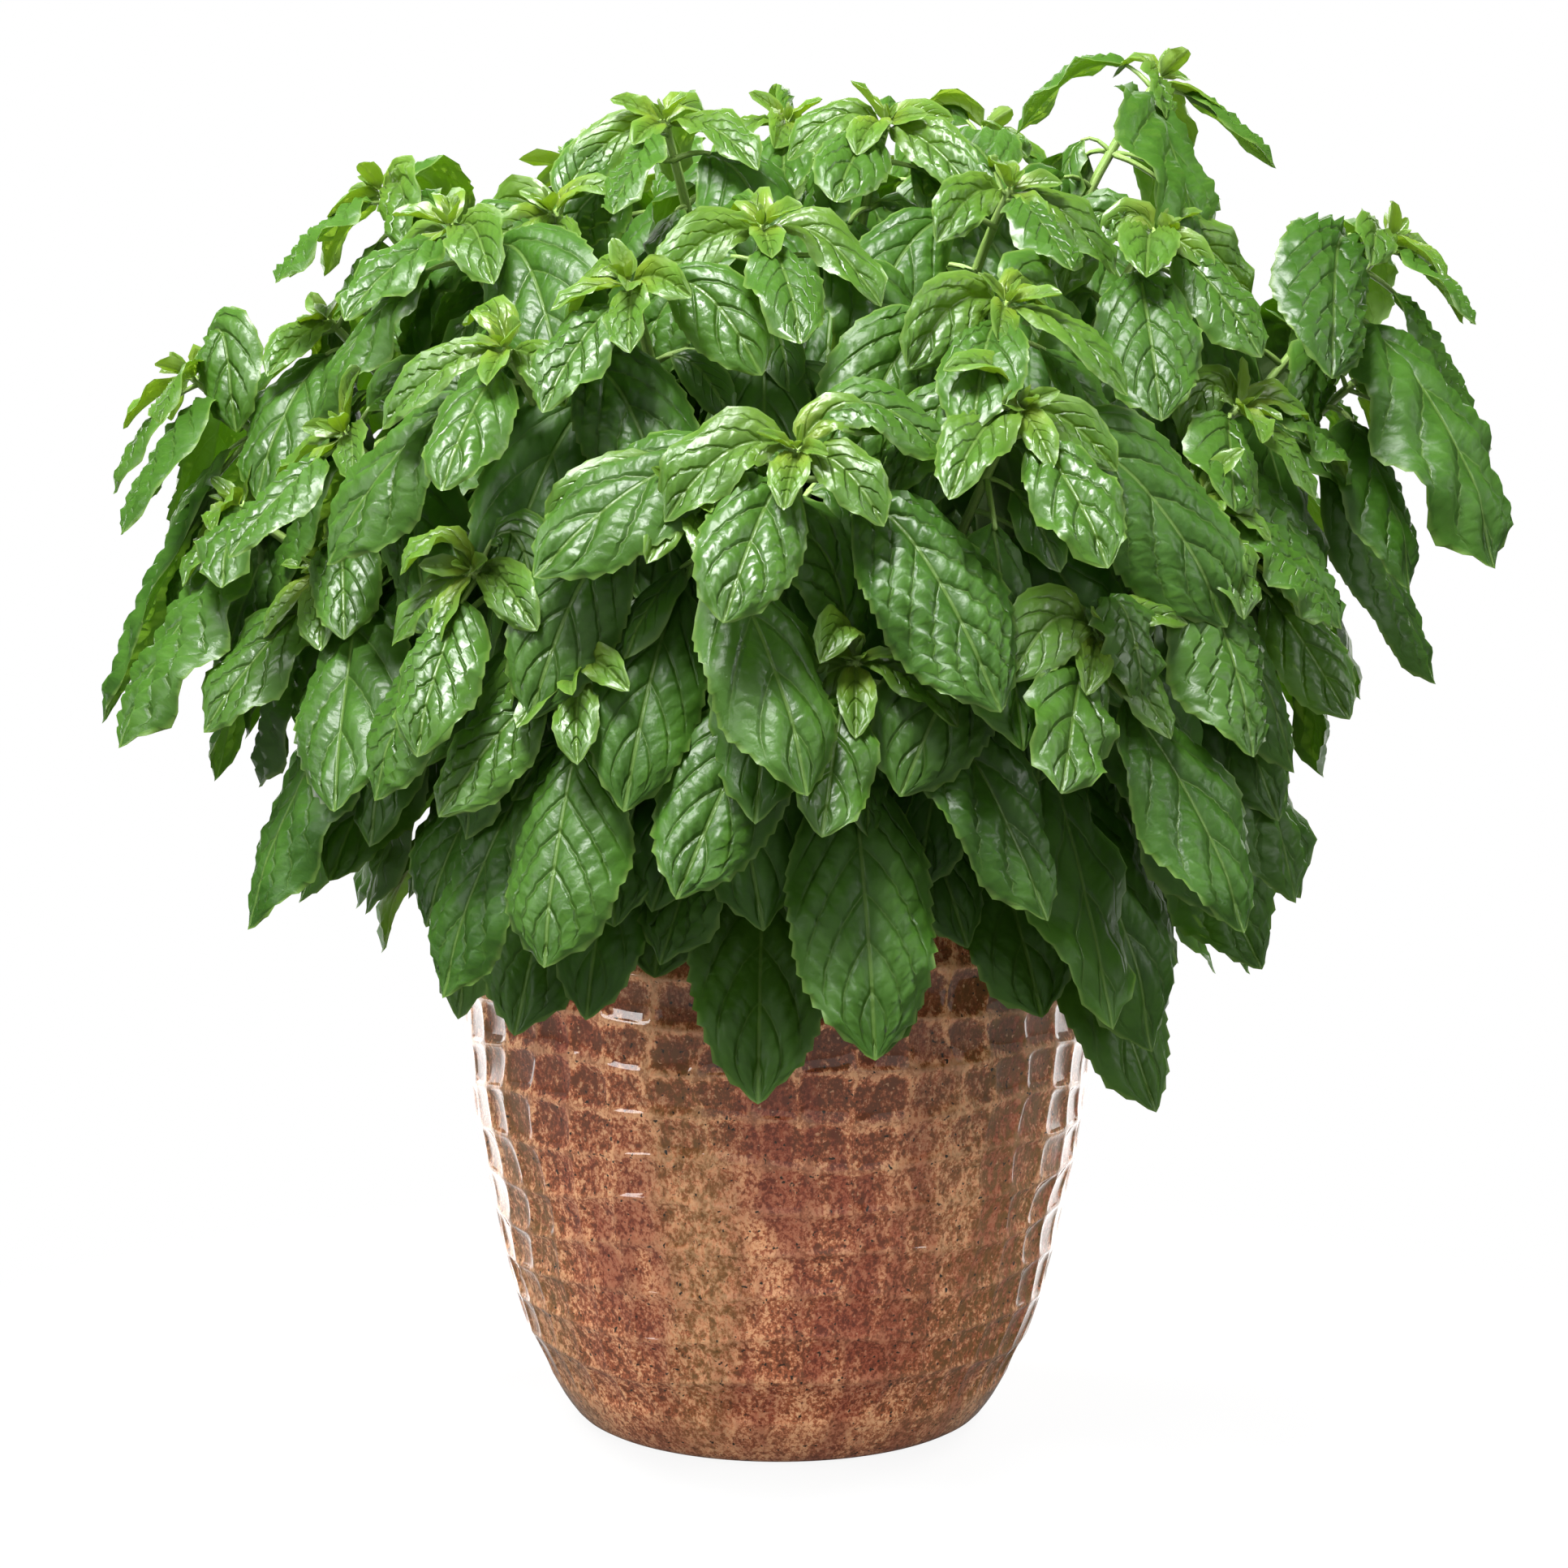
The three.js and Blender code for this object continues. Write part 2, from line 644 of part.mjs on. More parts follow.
const plant = growPlant();
const group = new THREE.Group();
group.name = 'potted_basil';
group.add(meshOf(potSolid(), 'pot', glaze));
group.add(meshOf(soilSolid(plant.stems), 'soil', earth));
for (const stem of plant.stems) {
  const name = `stem_${String(stem.id + 1).padStart(2, '0')}`;
  group.add(meshOf(stemSolid(stem, plant.leaves), name, foliage));
}

export default group;
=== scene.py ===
import math

import bpy
import numpy as np
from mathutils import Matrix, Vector


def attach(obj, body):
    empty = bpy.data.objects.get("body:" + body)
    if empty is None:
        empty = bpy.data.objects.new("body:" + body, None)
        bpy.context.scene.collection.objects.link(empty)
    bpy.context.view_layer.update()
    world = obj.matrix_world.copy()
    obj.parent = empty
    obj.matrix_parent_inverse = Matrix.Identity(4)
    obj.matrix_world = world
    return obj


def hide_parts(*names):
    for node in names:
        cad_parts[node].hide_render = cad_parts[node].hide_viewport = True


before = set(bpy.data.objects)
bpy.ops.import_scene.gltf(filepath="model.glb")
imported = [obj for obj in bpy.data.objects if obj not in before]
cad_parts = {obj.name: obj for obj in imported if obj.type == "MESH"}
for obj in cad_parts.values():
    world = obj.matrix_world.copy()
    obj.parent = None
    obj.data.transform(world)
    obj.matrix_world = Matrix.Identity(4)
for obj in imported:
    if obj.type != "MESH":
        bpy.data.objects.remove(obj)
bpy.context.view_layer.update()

# Sizes in millimetres, as in the CAD model
POT_HEIGHT = 198.0
POT_RADIUS = 117.0
POT_WALL = 9.0
POT_FLOOR = 12.0
POT_PROFILE = [
    [0, 74.7], [7, 80.5], [19, 87], [37, 96], [55, 101], [67, 104], [85, 107.5], [97, 110.5],
    [115, 113.2], [127, 114.7], [145, 116.4], [163, 117], [175, 116.8], [198, 115],
]
DIMPLE_COLUMNS = 42
DIMPLE_ROWS = 11
DIMPLE_FOOT = 17.0
DIMPLE_TOP = 190.0
DIMPLE_DEPTH = 1.5
SOIL_TOP = 176.0
STEM_FOOT = 156.0
STEM_RADIUS = 4.2
SHOOT_RADIUS = 2.3
SHOOT_SPANS = 5
FORK_SHARES = [0.76, 1, 0.88]
LEAF_STEPS = 24
OUTER_REACH = 125
POT_GAP = 5
SOIL_GAP = 6
LOWEST_LEAF = 40
CLEARANCE = 5.0
OWN_CLEARANCE = 3.4
FILL_CLEARANCE = 2.6
MOST_CLOUDS = 9000

# Tip x, y, z of each front shoot and the turn of its first leaf pair
FRONT_SHOOTS = [
    [23, -192, 278, 92], [6, -205, 339, 70], [71, -190, 352, 100], [-27, -200, 325, 55],
    [131, -150, 329, 150], [-82, -170, 372, 100], [-141, -112, 351, 85], [69, -165, 386, 60],
    [-5, -150, 411, 100], [-106, -110, 418, 95], [124, -100, 418, 105], [-38, -86, 456, 90],
    [75, -108, 430, 80], [36, -78, 457, 30], [3, -20, 469, 80], [134, -32, 482, 90],
    [214, -40, 424, 40], [-208, -34, 378, 85], [-160, -28, 398, 60], [150, -108, 360, 20],
    [-150, -98, 306, 70], [-92, -176, 305, 100], [158, -84, 312, 80], [96, -182, 285, 40],
    [-186, -62, 330, 20], [-45, -165, 392, 20], [-74, -100, 424, 60], [204, -34, 376, 100],
    [-60, -190, 275, 30], [-140, -34, 442, 120],
]
# Rings of shoots round the sides and back: count, radius, first and last bearing, height
SHOOT_RINGS = [
    [5, 172, 20, 162, 322], [5, 184, 14, 166, 376], [4, 168, 30, 150, 422], [4, 80, 14, 166, 460],
]
# Leaf pairs down a shoot: distance from its tip, length, width share, rise, droop
LEAF_PAIRS = [
    [4, 60, 0.44, 26, 0.66], [13, 90, 0.42, 18, 0.84], [30, 106, 0.38, 10, 0.95], [56, 110, 0.39, 5, 0.98],
]
PAIR_ORDER = [1, 0, 2, 3]
# Long-stalked old leaves over the rim: bearing, reach, height, length, width and roll
RIM_LEAVES = [
    [-118, 134, 240, 92, 43, 4], [-106, 128, 216, 44, 31, 0], [-92, 132, 228, 98, 45, 0],
    [-78, 131, 208, 62, 36, 5], [-60, 132, 232, 78, 41, -8], [-49, 131, 216, 56, 31, 12],
    [-47, 134, 214, 96, 41, 0], [-24, 148, 234, 74, 40, -20], [-134, 138, 248, 66, 36, -10],
    [-148, 148, 262, 68, 36, 15], [-168, 144, 252, 72, 36, -15], [-6, 140, 232, 80, 38, 10],
    [14, 136, 226, 84, 38, -10], [38, 135, 222, 82, 38, 20], [64, 136, 228, 86, 40, 0],
    [92, 135, 220, 82, 38, -20], [124, 136, 230, 86, 38, 12], [158, 138, 232, 82, 38, 6],
]
# Ways to try a leaf until it is clear of the others: swing, more droop, size
LEAF_TRIES = [
    [0, 0, 1], [13, 0, 1], [-13, 0, 1], [0, 0.12, 1], [0, -0.16, 1],
    [26, 0.08, 0.94], [-26, 0.08, 0.94], [40, 0, 0.88], [-40, 0, 0.88],
    [0, 0.06, 0.8], [18, -0.12, 0.78], [-18, -0.12, 0.78],
    [30, -0.2, 0.7], [-30, -0.2, 0.7], [0, -0.05, 0.64],
]

UP = np.array([0.0, 0.0, 1.0])


# Small vector tools
def stream(seed):
    state = (seed * 40503 + 12345) % 2 ** 32

    def draw():
        nonlocal state
        state = (state * 1664525 + 1013904223) % 2 ** 32
        return state / 2 ** 32

    draw()
    draw()
    return draw


def vec(x, y, z):
    return np.array([x, y, z], dtype=float)


def dot(a, b):
    return a[0] * b[0] + a[1] * b[1] + a[2] * b[2]


def unit(v):
    return v / math.sqrt(dot(v, v))


def cross(a, b):
    return vec(a[1] * b[2] - a[2] * b[1], a[2] * b[0] - a[0] * b[2], a[0] * b[1] - a[1] * b[0])


def outward(p):
    r = math.hypot(p[0], p[1])
    return vec(p[0] / r, p[1] / r, 0)


def polar(radius, bearing, z):
    a = math.radians(bearing)
    return vec(radius * math.cos(a), radius * math.sin(a), z)


def bezier(a, b, c, d, steps):
    line = []
    for k in range(steps + 1):
        t = k / steps
        u = 1 - t
        line.append(a * (u * u * u) + b * (3 * u * u * t) + c * (3 * u * t * t) + d * (t * t * t))
    return line


def ramp(x, low, high):
    return np.clip((x - low) / (high - low), 0, 1)


def smooth(x, low, high):
    t = ramp(x, low, high)
    return t * t * (3 - 2 * t)


# Shoots and stems
def shoot_tips():
    tips = [{"tip": vec(x, y, z), "turn": turn} for x, y, z, turn in FRONT_SHOOTS]
    for index, (count, radius, first, last, height) in enumerate(SHOOT_RINGS):
        draw = stream(500 + index)
        for k in range(count):
            bearing = first + (last - first) * k / (count - 1) + 10 * (draw() - 0.5)
            reach = radius * (0.94 + 0.12 * draw())
            z = height + 28 * (draw() - 0.5)
            tips.append({"tip": polar(reach, bearing, z), "turn": 60 + 60 * draw()})
    for k, shoot in enumerate(tips):
        shoot["id"] = k
        shoot["reach"] = math.hypot(shoot["tip"][0], shoot["tip"][1])
        shoot["bearing"] = math.degrees(math.atan2(shoot["tip"][1], shoot["tip"][0]))
    return tips


def grow_shoots():
    tips = shoot_tips()
    around = sorted(tips, key=lambda s: s["bearing"])
    outer = [s for s in around if s["reach"] >= OUTER_REACH]
    inner = [s for s in around if s["reach"] < OUTER_REACH]
    stems = []
    for members, base_reach, fork_rise in ((outer, 62, 40), (inner, 26, 62)):
        for first in range(0, len(members), 3):
            group = members[first:first + 3]
            o = outward(sum(s["tip"] for s in group))
            base = o * base_reach + UP * STEM_FOOT
            fork = o * (base_reach * 1.25) + UP * (SOIL_TOP + fork_rise)
            stem = {"id": len(stems), "base": base, "fork": fork}
            stems.append(stem)
            for k, s in enumerate(group):
                root = base + (fork - base) * FORK_SHARES[k]
                gap = s["tip"] - root
                reach = math.sqrt(dot(gap, gap))
                rise = math.radians(28 + 24 * min(1, max(0, (s["tip"][2] - 300) / 150)))
                axis = unit(outward(s["tip"]) * math.cos(rise) + UP * math.sin(rise))
                lead = unit(gap + UP * (reach * 0.5))
                b = root + lead * (reach * 0.33)
                c = s["tip"] - axis * (reach * 0.38)
                s["curve"] = bezier(root, b, c, s["tip"], LEAF_STEPS)
                s["spans"] = bezier(root, b, c, s["tip"], SHOOT_SPANS)
                s["stem"] = stem["id"]
    return tips, stems


def along(curve, distance):
    left = distance
    for k in range(len(curve) - 1, 0, -1):
        step = curve[k] - curve[k - 1]
        length = math.sqrt(dot(step, step))
        if left <= length or k == 1:
            return curve[k] - step * min(1, left / length), step * (1 / length)
        left -= length


# One leaf: its midrib bends from the start direction towards the hanging one
def blade_shape(u):
    if u <= 0 or u >= 1:
        return 0.0
    tip = max(0, (u - 0.7) / 0.3)
    return u ** 0.66 * (1 - u) ** 0.82 / 0.3578 * (1 - 0.42 * tip * tip)


def make_leaf(node, axis, side, length, width, rise, droop, turn, roll, stalk, cup):
    r = math.radians(rise)
    start = unit(side * math.cos(r) + axis * math.sin(r))
    hang = unit(vec(side[0] * 0.28, side[1] * 0.28, -1) + outward(node) * 0.22)
    across = unit(cross(start, hang))
    mid = [node]
    way = []
    for k in range(LEAF_STEPS):
        s = (k + 0.5) / LEAF_STEPS
        w = droop * (1 - (1 - s) ** 3)
        d = unit(start * (1 - w) + hang * w)
        way.append(d)
        mid.append(mid[k] + d * (length / LEAF_STEPS))
    face = cross(way[LEAF_STEPS // 2], across)
    front = 0.55 * min(1, max(0, 0.5 - node[1] / 160))
    light = outward(node) * 0.6 + vec(0, -front, 0.6)
    swing = math.atan2(dot(light, across), dot(light, face))
    swing = max(-1.2, min(1.2, swing)) * turn + math.radians(roll)
    return {"mid": mid, "way": way, "across": across, "swing": swing, "length": length, "width": width,
            "stalk": stalk, "cup": cup}


def midrib(leaf, s):
    """The step and the point at a share of the leaf's length, stalk included."""
    x = min(max(s, 0), 1) * LEAF_STEPS
    k = min(int(x), LEAF_STEPS - 1)
    return k, leaf["mid"][k] + (leaf["mid"][k + 1] - leaf["mid"][k]) * (x - k)


def leaf_point(leaf, u, t):
    s = leaf["stalk"] + (1 - leaf["stalk"]) * u
    k, point = midrib(leaf, s)
    face = cross(leaf["way"][k], leaf["across"])
    a = leaf["swing"] * min(1, s / (leaf["stalk"] + 0.12))
    across = leaf["across"] * math.cos(a) - face * math.sin(a)
    face = face * math.cos(a) + leaf["across"] * math.sin(a)
    half = leaf["width"] / 2 * blade_shape(u)
    return point + across * (t * half) - face * (leaf["cup"] * half * t * t)


def leaf_samples(leaf):
    rows = [[leaf_point(leaf, u, t) for t in (-1, 0, 1)] for u in leaf["stations"]]
    blade = []
    parts = 12 // (len(rows) - 1)
    for k in range(len(rows) - 1):
        for part in range(parts):
            a = part / parts
            left, middle, right = [rows[k][j] + (rows[k + 1][j] - rows[k][j]) * a for j in range(3)]
            blade += [middle + (left - middle) * t for t in (0, 0.33, 0.67, 1)]
            blade += [middle + (right - middle) * t for t in (0.33, 0.67, 1)]
    blade.append(rows[-1][1])
    stalk = [leaf["mid"][0] + (rows[0][1] - leaf["mid"][0]) * (k / 4) for k in range(4)]
    return np.array(blade), np.array(stalk)


def split(points, step):
    out = []
    for a, b in zip(points[:-1], points[1:]):
        gap = b - a
        count = max(1, math.ceil(math.sqrt(dot(gap, gap)) / step))
        out += [a + gap * (k / count) for k in range(count)]
    return np.array(out + [points[-1]])


def hits_pot(pts):
    r = np.hypot(pts[:, 0], pts[:, 1])
    low = pts[:, 2] < POT_HEIGHT + POT_GAP
    outside = r > POT_RADIUS + POT_GAP
    inside = (pts[:, 2] > SOIL_TOP + SOIL_GAP) & (r < POT_RADIUS - POT_WALL - SOIL_GAP)
    return bool(np.any((low & ~outside & ~inside) | (pts[:, 2] < LOWEST_LEAF)))


class Crowd:
    """Clouds of points already taken, each with the shoot that owns it."""

    def __init__(self):
        self.points = []
        self.count = 0
        self.centre = np.zeros((MOST_CLOUDS, 3))
        self.radius = np.zeros(MOST_CLOUDS)
        self.owner = np.zeros(MOST_CLOUDS, dtype=int)

    def add(self, points, owner):
        centre = points.mean(0)
        self.centre[self.count] = centre
        self.radius[self.count] = math.sqrt(((points - centre) ** 2).sum(1).max())
        self.owner[self.count] = owner
        self.points.append(points)
        self.count += 1

    def clear(self, points, owner, gap, own_gap):
        n = self.count
        centre = points.mean(0)
        radius = math.sqrt(((points - centre) ** 2).sum(1).max())
        gaps = np.where(self.owner[:n] == owner, own_gap, gap)
        away = np.sqrt(((self.centre[:n] - centre) ** 2).sum(1)) - self.radius[:n] - radius
        for k in np.nonzero((away <= gaps) & (gaps > 0))[0]:
            other = self.points[k]
            other = other[((other - centre) ** 2).sum(1) <= (radius + gaps[k]) ** 2]
            near = points[((points - self.centre[k]) ** 2).sum(1) <= (self.radius[k] + gaps[k]) ** 2]
            if len(other) and len(near):
                apart = ((near[:, None, :] - other[None, :, :]) ** 2).sum(2).min()
                if apart < gaps[k] * gaps[k]:
                    return False
        return True


def rim_leaves(stems):
    out = []
    for k, (bearing, reach, height, length, width, roll) in enumerate(RIM_LEAVES):
        top = polar(reach - 6, bearing, height)
        best = min(stems, key=lambda s: dot(s["fork"] - top, s["fork"] - top))
        start = best["base"] + (best["fork"] - best["base"]) * 0.78
        o = outward(top)
        b = start + UP * 26 + o * 12
        c = top - o * 26 + UP * 12
        leaf = make_leaf(top, UP, o, length, width, -42, 0.97, 1, roll, 0.03, 0.2)
        leaf["stem_curve"] = bezier(start, b, c, top, 3)
        leaf["stem_line"] = bezier(start, b, c, top, 16)
        leaf.update(shoot=900 + k, stem=best["id"], level=3, stations=[0, 0.3, 0.68, 1])
        out.append(leaf)
    return out


def fit_leaf(leaf, shoot, crowd, gap, own_gap):
    blade, foot = leaf_samples(leaf)
    if hits_pot(blade) or not crowd.clear(blade, shoot["id"], gap, own_gap):
        return False
    if not crowd.clear(foot, shoot["id"], gap, 0):
        return False
    crowd.add(blade, shoot["id"])
    crowd.add(foot, shoot["id"])
    return True


# How leaves vary: bearing, length from and by, droop, roll, cup from and by, stalk from and by
LARGE = [24, 0.86, 0.28, 0.2, 50, 0.2, 0.35, 0.12, 0.1]
SHADED = [26, 0.8, 0.4, 0.16, 60, 0.1, 0.3, 0.1, 0.14]
TIP = [26, 0.8, 0.4, 0.16, 60, 0.1, 0.3, 0.03, 0.04]


def try_leaf(shoot, level, node, up, bearing, pair, variety, seed, stations, room, size=1.0):
    """A leaf at its first way that leaves room to the others, or None. Without room it isn't tested."""
    _, length, share, rise, droop = pair
    bearing_by, length_from, length_by, droop_by, roll_by, cup_from, cup_by, stalk_from, stalk_by = variety
    draw = stream(seed)
    bearing = bearing + bearing_by * (draw() - 0.5)
    length = length * (length_from + length_by * draw())
    width = length * share * (0.9 + 0.2 * draw())
    rise = rise + 16 * (draw() - 0.5)
    droop = droop + droop_by * (draw() - 0.5)
    roll = roll_by * (draw() - 0.5)
    cup = cup_from + cup_by * draw()
    stalk = stalk_from + stalk_by * draw()
    right = cross(UP, outward(shoot["tip"]))
    u0 = unit(right - up * dot(right, up))
    v0 = cross(up, u0)
    for swing, more, keep in LEAF_TRIES:
        keep = keep * size
        a = math.radians(bearing + swing)
        side = u0 * math.cos(a) + v0 * math.sin(a)
        sag = min(0.98, max(0.1, droop + more))
        leaf = make_leaf(node, up, side, length * keep, width * keep, rise, sag, 0.88, roll, stalk, cup)
        leaf["stations"] = stations
        if room is None or fit_leaf(leaf, shoot, *room):
            leaf.update(shoot=shoot["id"], stem=shoot["stem"], level=level)
            return leaf
    return None


def place_leaf(shoot, level, half, room, size=1.0):
    pair = LEAF_PAIRS[level]
    node, up = along(shoot["spans"], pair[0])
    bearing = shoot["turn"] + 90 * level + 180 * half
    seed = 1000 + shoot["id"] * 40 + level * 4 + half
    few = level % 3 == 0 or (level == 2 and shoot["tip"][1] > 0)
    stations = [0, 0.42, 1] if few else [0, 0.3, 0.68, 1]
    return try_leaf(shoot, level, node, up, bearing, pair, LARGE, seed, stations, room, size)


def grow_plant():
    """The shoots, stems and large leaves of the CAD model, and what they leave free."""
    shoots, stems = grow_shoots()
    crowd = Crowd()
    for s in shoots:
        crowd.add(split(s["spans"], 4), s["id"])
    for st in stems:
        crowd.add(split([st["base"], st["fork"]], 4), -1)
    leaves = rim_leaves(stems)
    for leaf in leaves:
        crowd.add(leaf_samples(leaf)[0], leaf["shoot"])
        crowd.add(split(leaf["stem_curve"], 4), leaf["shoot"])
    missed = []
    for level in PAIR_ORDER:
        for shoot in shoots:
            for half in range(2):
                leaf = place_leaf(shoot, level, half, (crowd, CLEARANCE, OWN_CLEARANCE))
                if leaf:
                    leaves.append(leaf)
                else:
                    missed.append((shoot, level, half))
    return shoots, stems, leaves, missed, crowd


# Leaves only in the looks: distance from the tip, length, width share, rise, droop
TIP_PAIRS = [
    [1.6, 42, 0.44, 24, 0.68], [0.8, 28, 0.42, 34, 0.55], [0.0, 17, 0.4, 50, 0.3], [-0.8, 9, 0.4, 72, 0.05],
]
SHADED_PAIRS = [
    [44, 92, 0.38, 8, 0.96], [74, 98, 0.4, 6, 0.98], [94, 92, 0.4, 4, 0.98], [116, 84, 0.42, 4, 0.98],
]
SIDE_SPRIGS = [[30, 44, 0.37, 30, 0.82], [57, 50, 0.37, 30, 0.82], [80, 50, 0.37, 30, 0.82]]
SHADED_LEVEL, SPRIG_LEVEL = 4, 5


def fill_leaf(shoot, seed, bearing, pair, level, room):
    distance = pair[0]
    node, up = along(shoot["curve"], max(distance, 0))
    if distance < 0:
        node = node - up * distance
    variety = SHADED if level > 0 else TIP
    return try_leaf(shoot, level, node, up, bearing, pair, variety, seed, [0, 0.2, 0.45, 0.72, 1], room)


def grow_fill(shoots, missed, crowd):
    """Shoot tips, pairs that found no room before, shaded leaves and side sprigs."""
    out = []
    for shoot in shoots:
        for k, pair in enumerate(TIP_PAIRS):
            for half in range(2):
                seed = 20000 + shoot["id"] * 40 + k * 2 + half
                bearing = shoot["turn"] + 90 * (k + 1) + 180 * half
                out.append(fill_leaf(shoot, seed, bearing, pair, max(-3, -1 - k), None))
    for shoot, level, half in missed:
        out.append(place_leaf(shoot, level, half, (crowd, FILL_CLEARANCE, 2.4), 0.9))
    fills = [
        [SHADED_PAIRS, 30000, 2, 45, SHADED_LEVEL, (crowd, FILL_CLEARANCE, 2.2)],
        [SIDE_SPRIGS, 40000, 4, 0, SPRIG_LEVEL, (crowd, 2.2, 1.8)],
    ]
    for pairs, first_seed, seed_step, first_turn, level, room in fills:
        for k, pair in enumerate(pairs):
            for shoot in shoots:
                for half in range(2):
                    seed = first_seed + shoot["id"] * 40 + k * seed_step + half
                    bearing = shoot["turn"] + first_turn + 90 * k + 180 * half
                    out.append(fill_leaf(shoot, seed, bearing, pair, level, room))
    return [leaf for leaf in out if leaf]


# Mesh building
class Parts:
    """Points and faces of one mesh piece, with numbers kept for each point."""

    def __init__(self):
        self.points, self.grain, self.place, self.tone, self.edge = [], [], [], [], []
        self.quads, self.quad_slots, self.tris, self.tri_slots = [], [], [], []
        self.count = 0

    def add(self, points, quads, tris, slots, grain=0.0, place=0.0, tone=0.0, edge=False):
        n = len(points)
        self.points.append(points)
        for kept, given in ((self.grain, grain), (self.place, place), (self.tone, tone)):
            kept.append(np.broadcast_to(given, (n, 3)))
        self.edge.append(np.broadcast_to(edge, n))
        self.quads.append(np.asarray(quads, dtype=np.int64).reshape(-1, 4) + self.count)
        self.tris.append(np.asarray(tris, dtype=np.int64).reshape(-1, 3) + self.count)
        slots = np.broadcast_to(slots, len(quads) + len(tris))
        self.quad_slots.append(slots[:len(quads)])
        self.tri_slots.append(slots[len(quads):])
        self.count += n

    def build(self, name, materials):
        points = np.concatenate(self.points) * 0.001
        quads = np.concatenate(self.quads)
        tris = np.concatenate(self.tris)
        slots = np.concatenate(self.quad_slots + self.tri_slots)
        mesh = bpy.data.meshes.new(name)
        mesh.vertices.add(len(points))
        mesh.vertices.foreach_set("co", points.astype(np.float32).ravel())
        corners = np.concatenate([quads.ravel(), tris.ravel()])
        mesh.loops.add(len(corners))
        mesh.loops.foreach_set("vertex_index", corners.astype(np.int32))
        starts = np.concatenate([np.arange(len(quads)) * 4, len(quads) * 4 + np.arange(len(tris)) * 3])
        mesh.polygons.add(len(starts))
        mesh.polygons.foreach_set("loop_start", starts.astype(np.int32))
        mesh.polygons.foreach_set("material_index", slots.astype(np.int32))
        mesh.update(calc_edges=True)
        mesh.shade_smooth()
        for key in ("grain", "place", "tone"):
            layer = mesh.attributes.new(key, "FLOAT_VECTOR", "POINT")
            layer.data.foreach_set("vector", np.concatenate(getattr(self, key)).astype(np.float32).ravel())
        edge = np.concatenate(self.edge)
        if edge.any():
            ends = np.zeros(len(mesh.edges) * 2, dtype=np.int32)
            mesh.edges.foreach_get("vertices", ends)
            sharp = edge[ends].reshape(-1, 2).all(1)
            layer = mesh.attributes.new("sharp_edge", "BOOLEAN", "EDGE")
            layer.data.foreach_set("value", sharp)
        for material in materials:
            mesh.materials.append(material)
        piece = bpy.data.objects.new(name, mesh)
        bpy.context.scene.collection.objects.link(piece)
        return piece


def ring_turns(sides):
    return np.arange(sides) * 2 * math.pi / sides


def ring(radius, z, sides):
    around = ring_turns(sides)
    return np.stack([radius * np.cos(around), radius * np.sin(around), np.full(sides, float(z))], 1)


def grid_quads(rows, columns):
    """Quads of a grid of points that closes on itself along each row, as indices."""
    r = np.arange(rows - 1)[:, None]
    c = np.arange(columns)[None, :]
    n = (c + 1) % columns
    here, above = r * columns, (r + 1) * columns
    return np.stack([here + c, here + n, above + n, above + c], 2).reshape(-1, 4)


def end_fans(count, sides):
    """Triangles from the first and last ring of a grid to the two points that follow it."""
    i = np.arange(sides)
    j = (i + 1) % sides
    last = count - sides
    return np.concatenate([
        np.stack([np.full(sides, count), j, i], 1),
        np.stack([np.full(sides, count + 1), last + i, last + j], 1),
    ])


# Slots of a plant's piece, and how finely each size of blade is cut from its midrib to its edge
UPPER, UNDER, WOOD = 0, 1, 2
HALF_COLUMNS = {
    "fine": [0.05, 0.17, 0.32, 0.48, 0.64, 0.78, 0.9, 1],
    "plain": [0.06, 0.24, 0.45, 0.68, 0.87, 1],
    "small": [0.1, 0.4, 0.75, 1],
    "tiny": [0.5, 1],
}
TOOTH_STEPS = {"fine": 5.2, "plain": 6.9, "small": 7, "tiny": 5}
TOOTH_PEAK = 0.66
TOOTH_HEIGHT = 0.015
BLADE_THICKNESS = 0.42
RIB_HEIGHT = 0.95
# How far tip leaves fold along the midrib, and how old a leaf looks, by level
FOLDS = {-3: 0.7, -2: 0.55, -1: 0.35, 0: 0.16}
AGES = {-3: 0.0, -2: 0.2, -1: 0.42, 0: 0.62, 1: 0.85, SPRIG_LEVEL: 0.75}


def tube(parts, line, radii, sides, tone, square=0.0):
    """A closed tube with pointed ends through a line of points."""
    line = np.asarray(line)
    way = np.gradient(line, axis=0)
    way /= np.linalg.norm(way, axis=1)[:, None]
    side = np.cross(way[0], UP if abs(way[0][2]) < 0.9 else vec(1, 0, 0))
    turns = ring_turns(sides)
    swell = 1 + square * np.cos(4 * turns)
    rings = []
    grain = []
    run = 0.0
    for k, point in enumerate(line):
        side = side - way[k] * np.dot(side, way[k])
        side /= np.linalg.norm(side)
        up = np.cross(way[k], side)
        spokes = np.cos(turns)[:, None] * side + np.sin(turns)[:, None] * up
        rings.append(point + radii[k] * swell[:, None] * spokes)
        run += np.linalg.norm(point - line[k - 1]) if k else 0
        grain.append(np.stack([np.full(sides, run), turns * radii[k], np.full(sides, line[0][0] * 3)], 1))
    first_end = line[:1] - way[:1] * radii[0] * 0.5
    last_end = line[-1:] + way[-1:] * radii[-1] * 0.6
    points = np.concatenate(rings + [first_end, last_end])
    grain = np.concatenate(grain + [grain[0][:1], grain[-1][:1]])
    fans = end_fans(len(line) * sides, sides)
    parts.add(points, grid_quads(len(line), sides), fans, WOOD, grain=grain, tone=tone)


# Leaves
def leaf_detail(leaf):
    if leaf["length"] < 22:
        return "tiny"
    if leaf["level"] >= SHADED_LEVEL or leaf["length"] < 28:
        return "small"
    return "fine" if leaf["mid"][8][1] < 0 else "plain"


def fine_outline(u):
    """The finer blade's half width: fuller towards the tip than the plain solid's, with a short point."""
    return (u ** 0.6 * (1 - u) ** 0.66) / 0.418 * (1 - 0.4 * smooth(u, 0.86, 1))


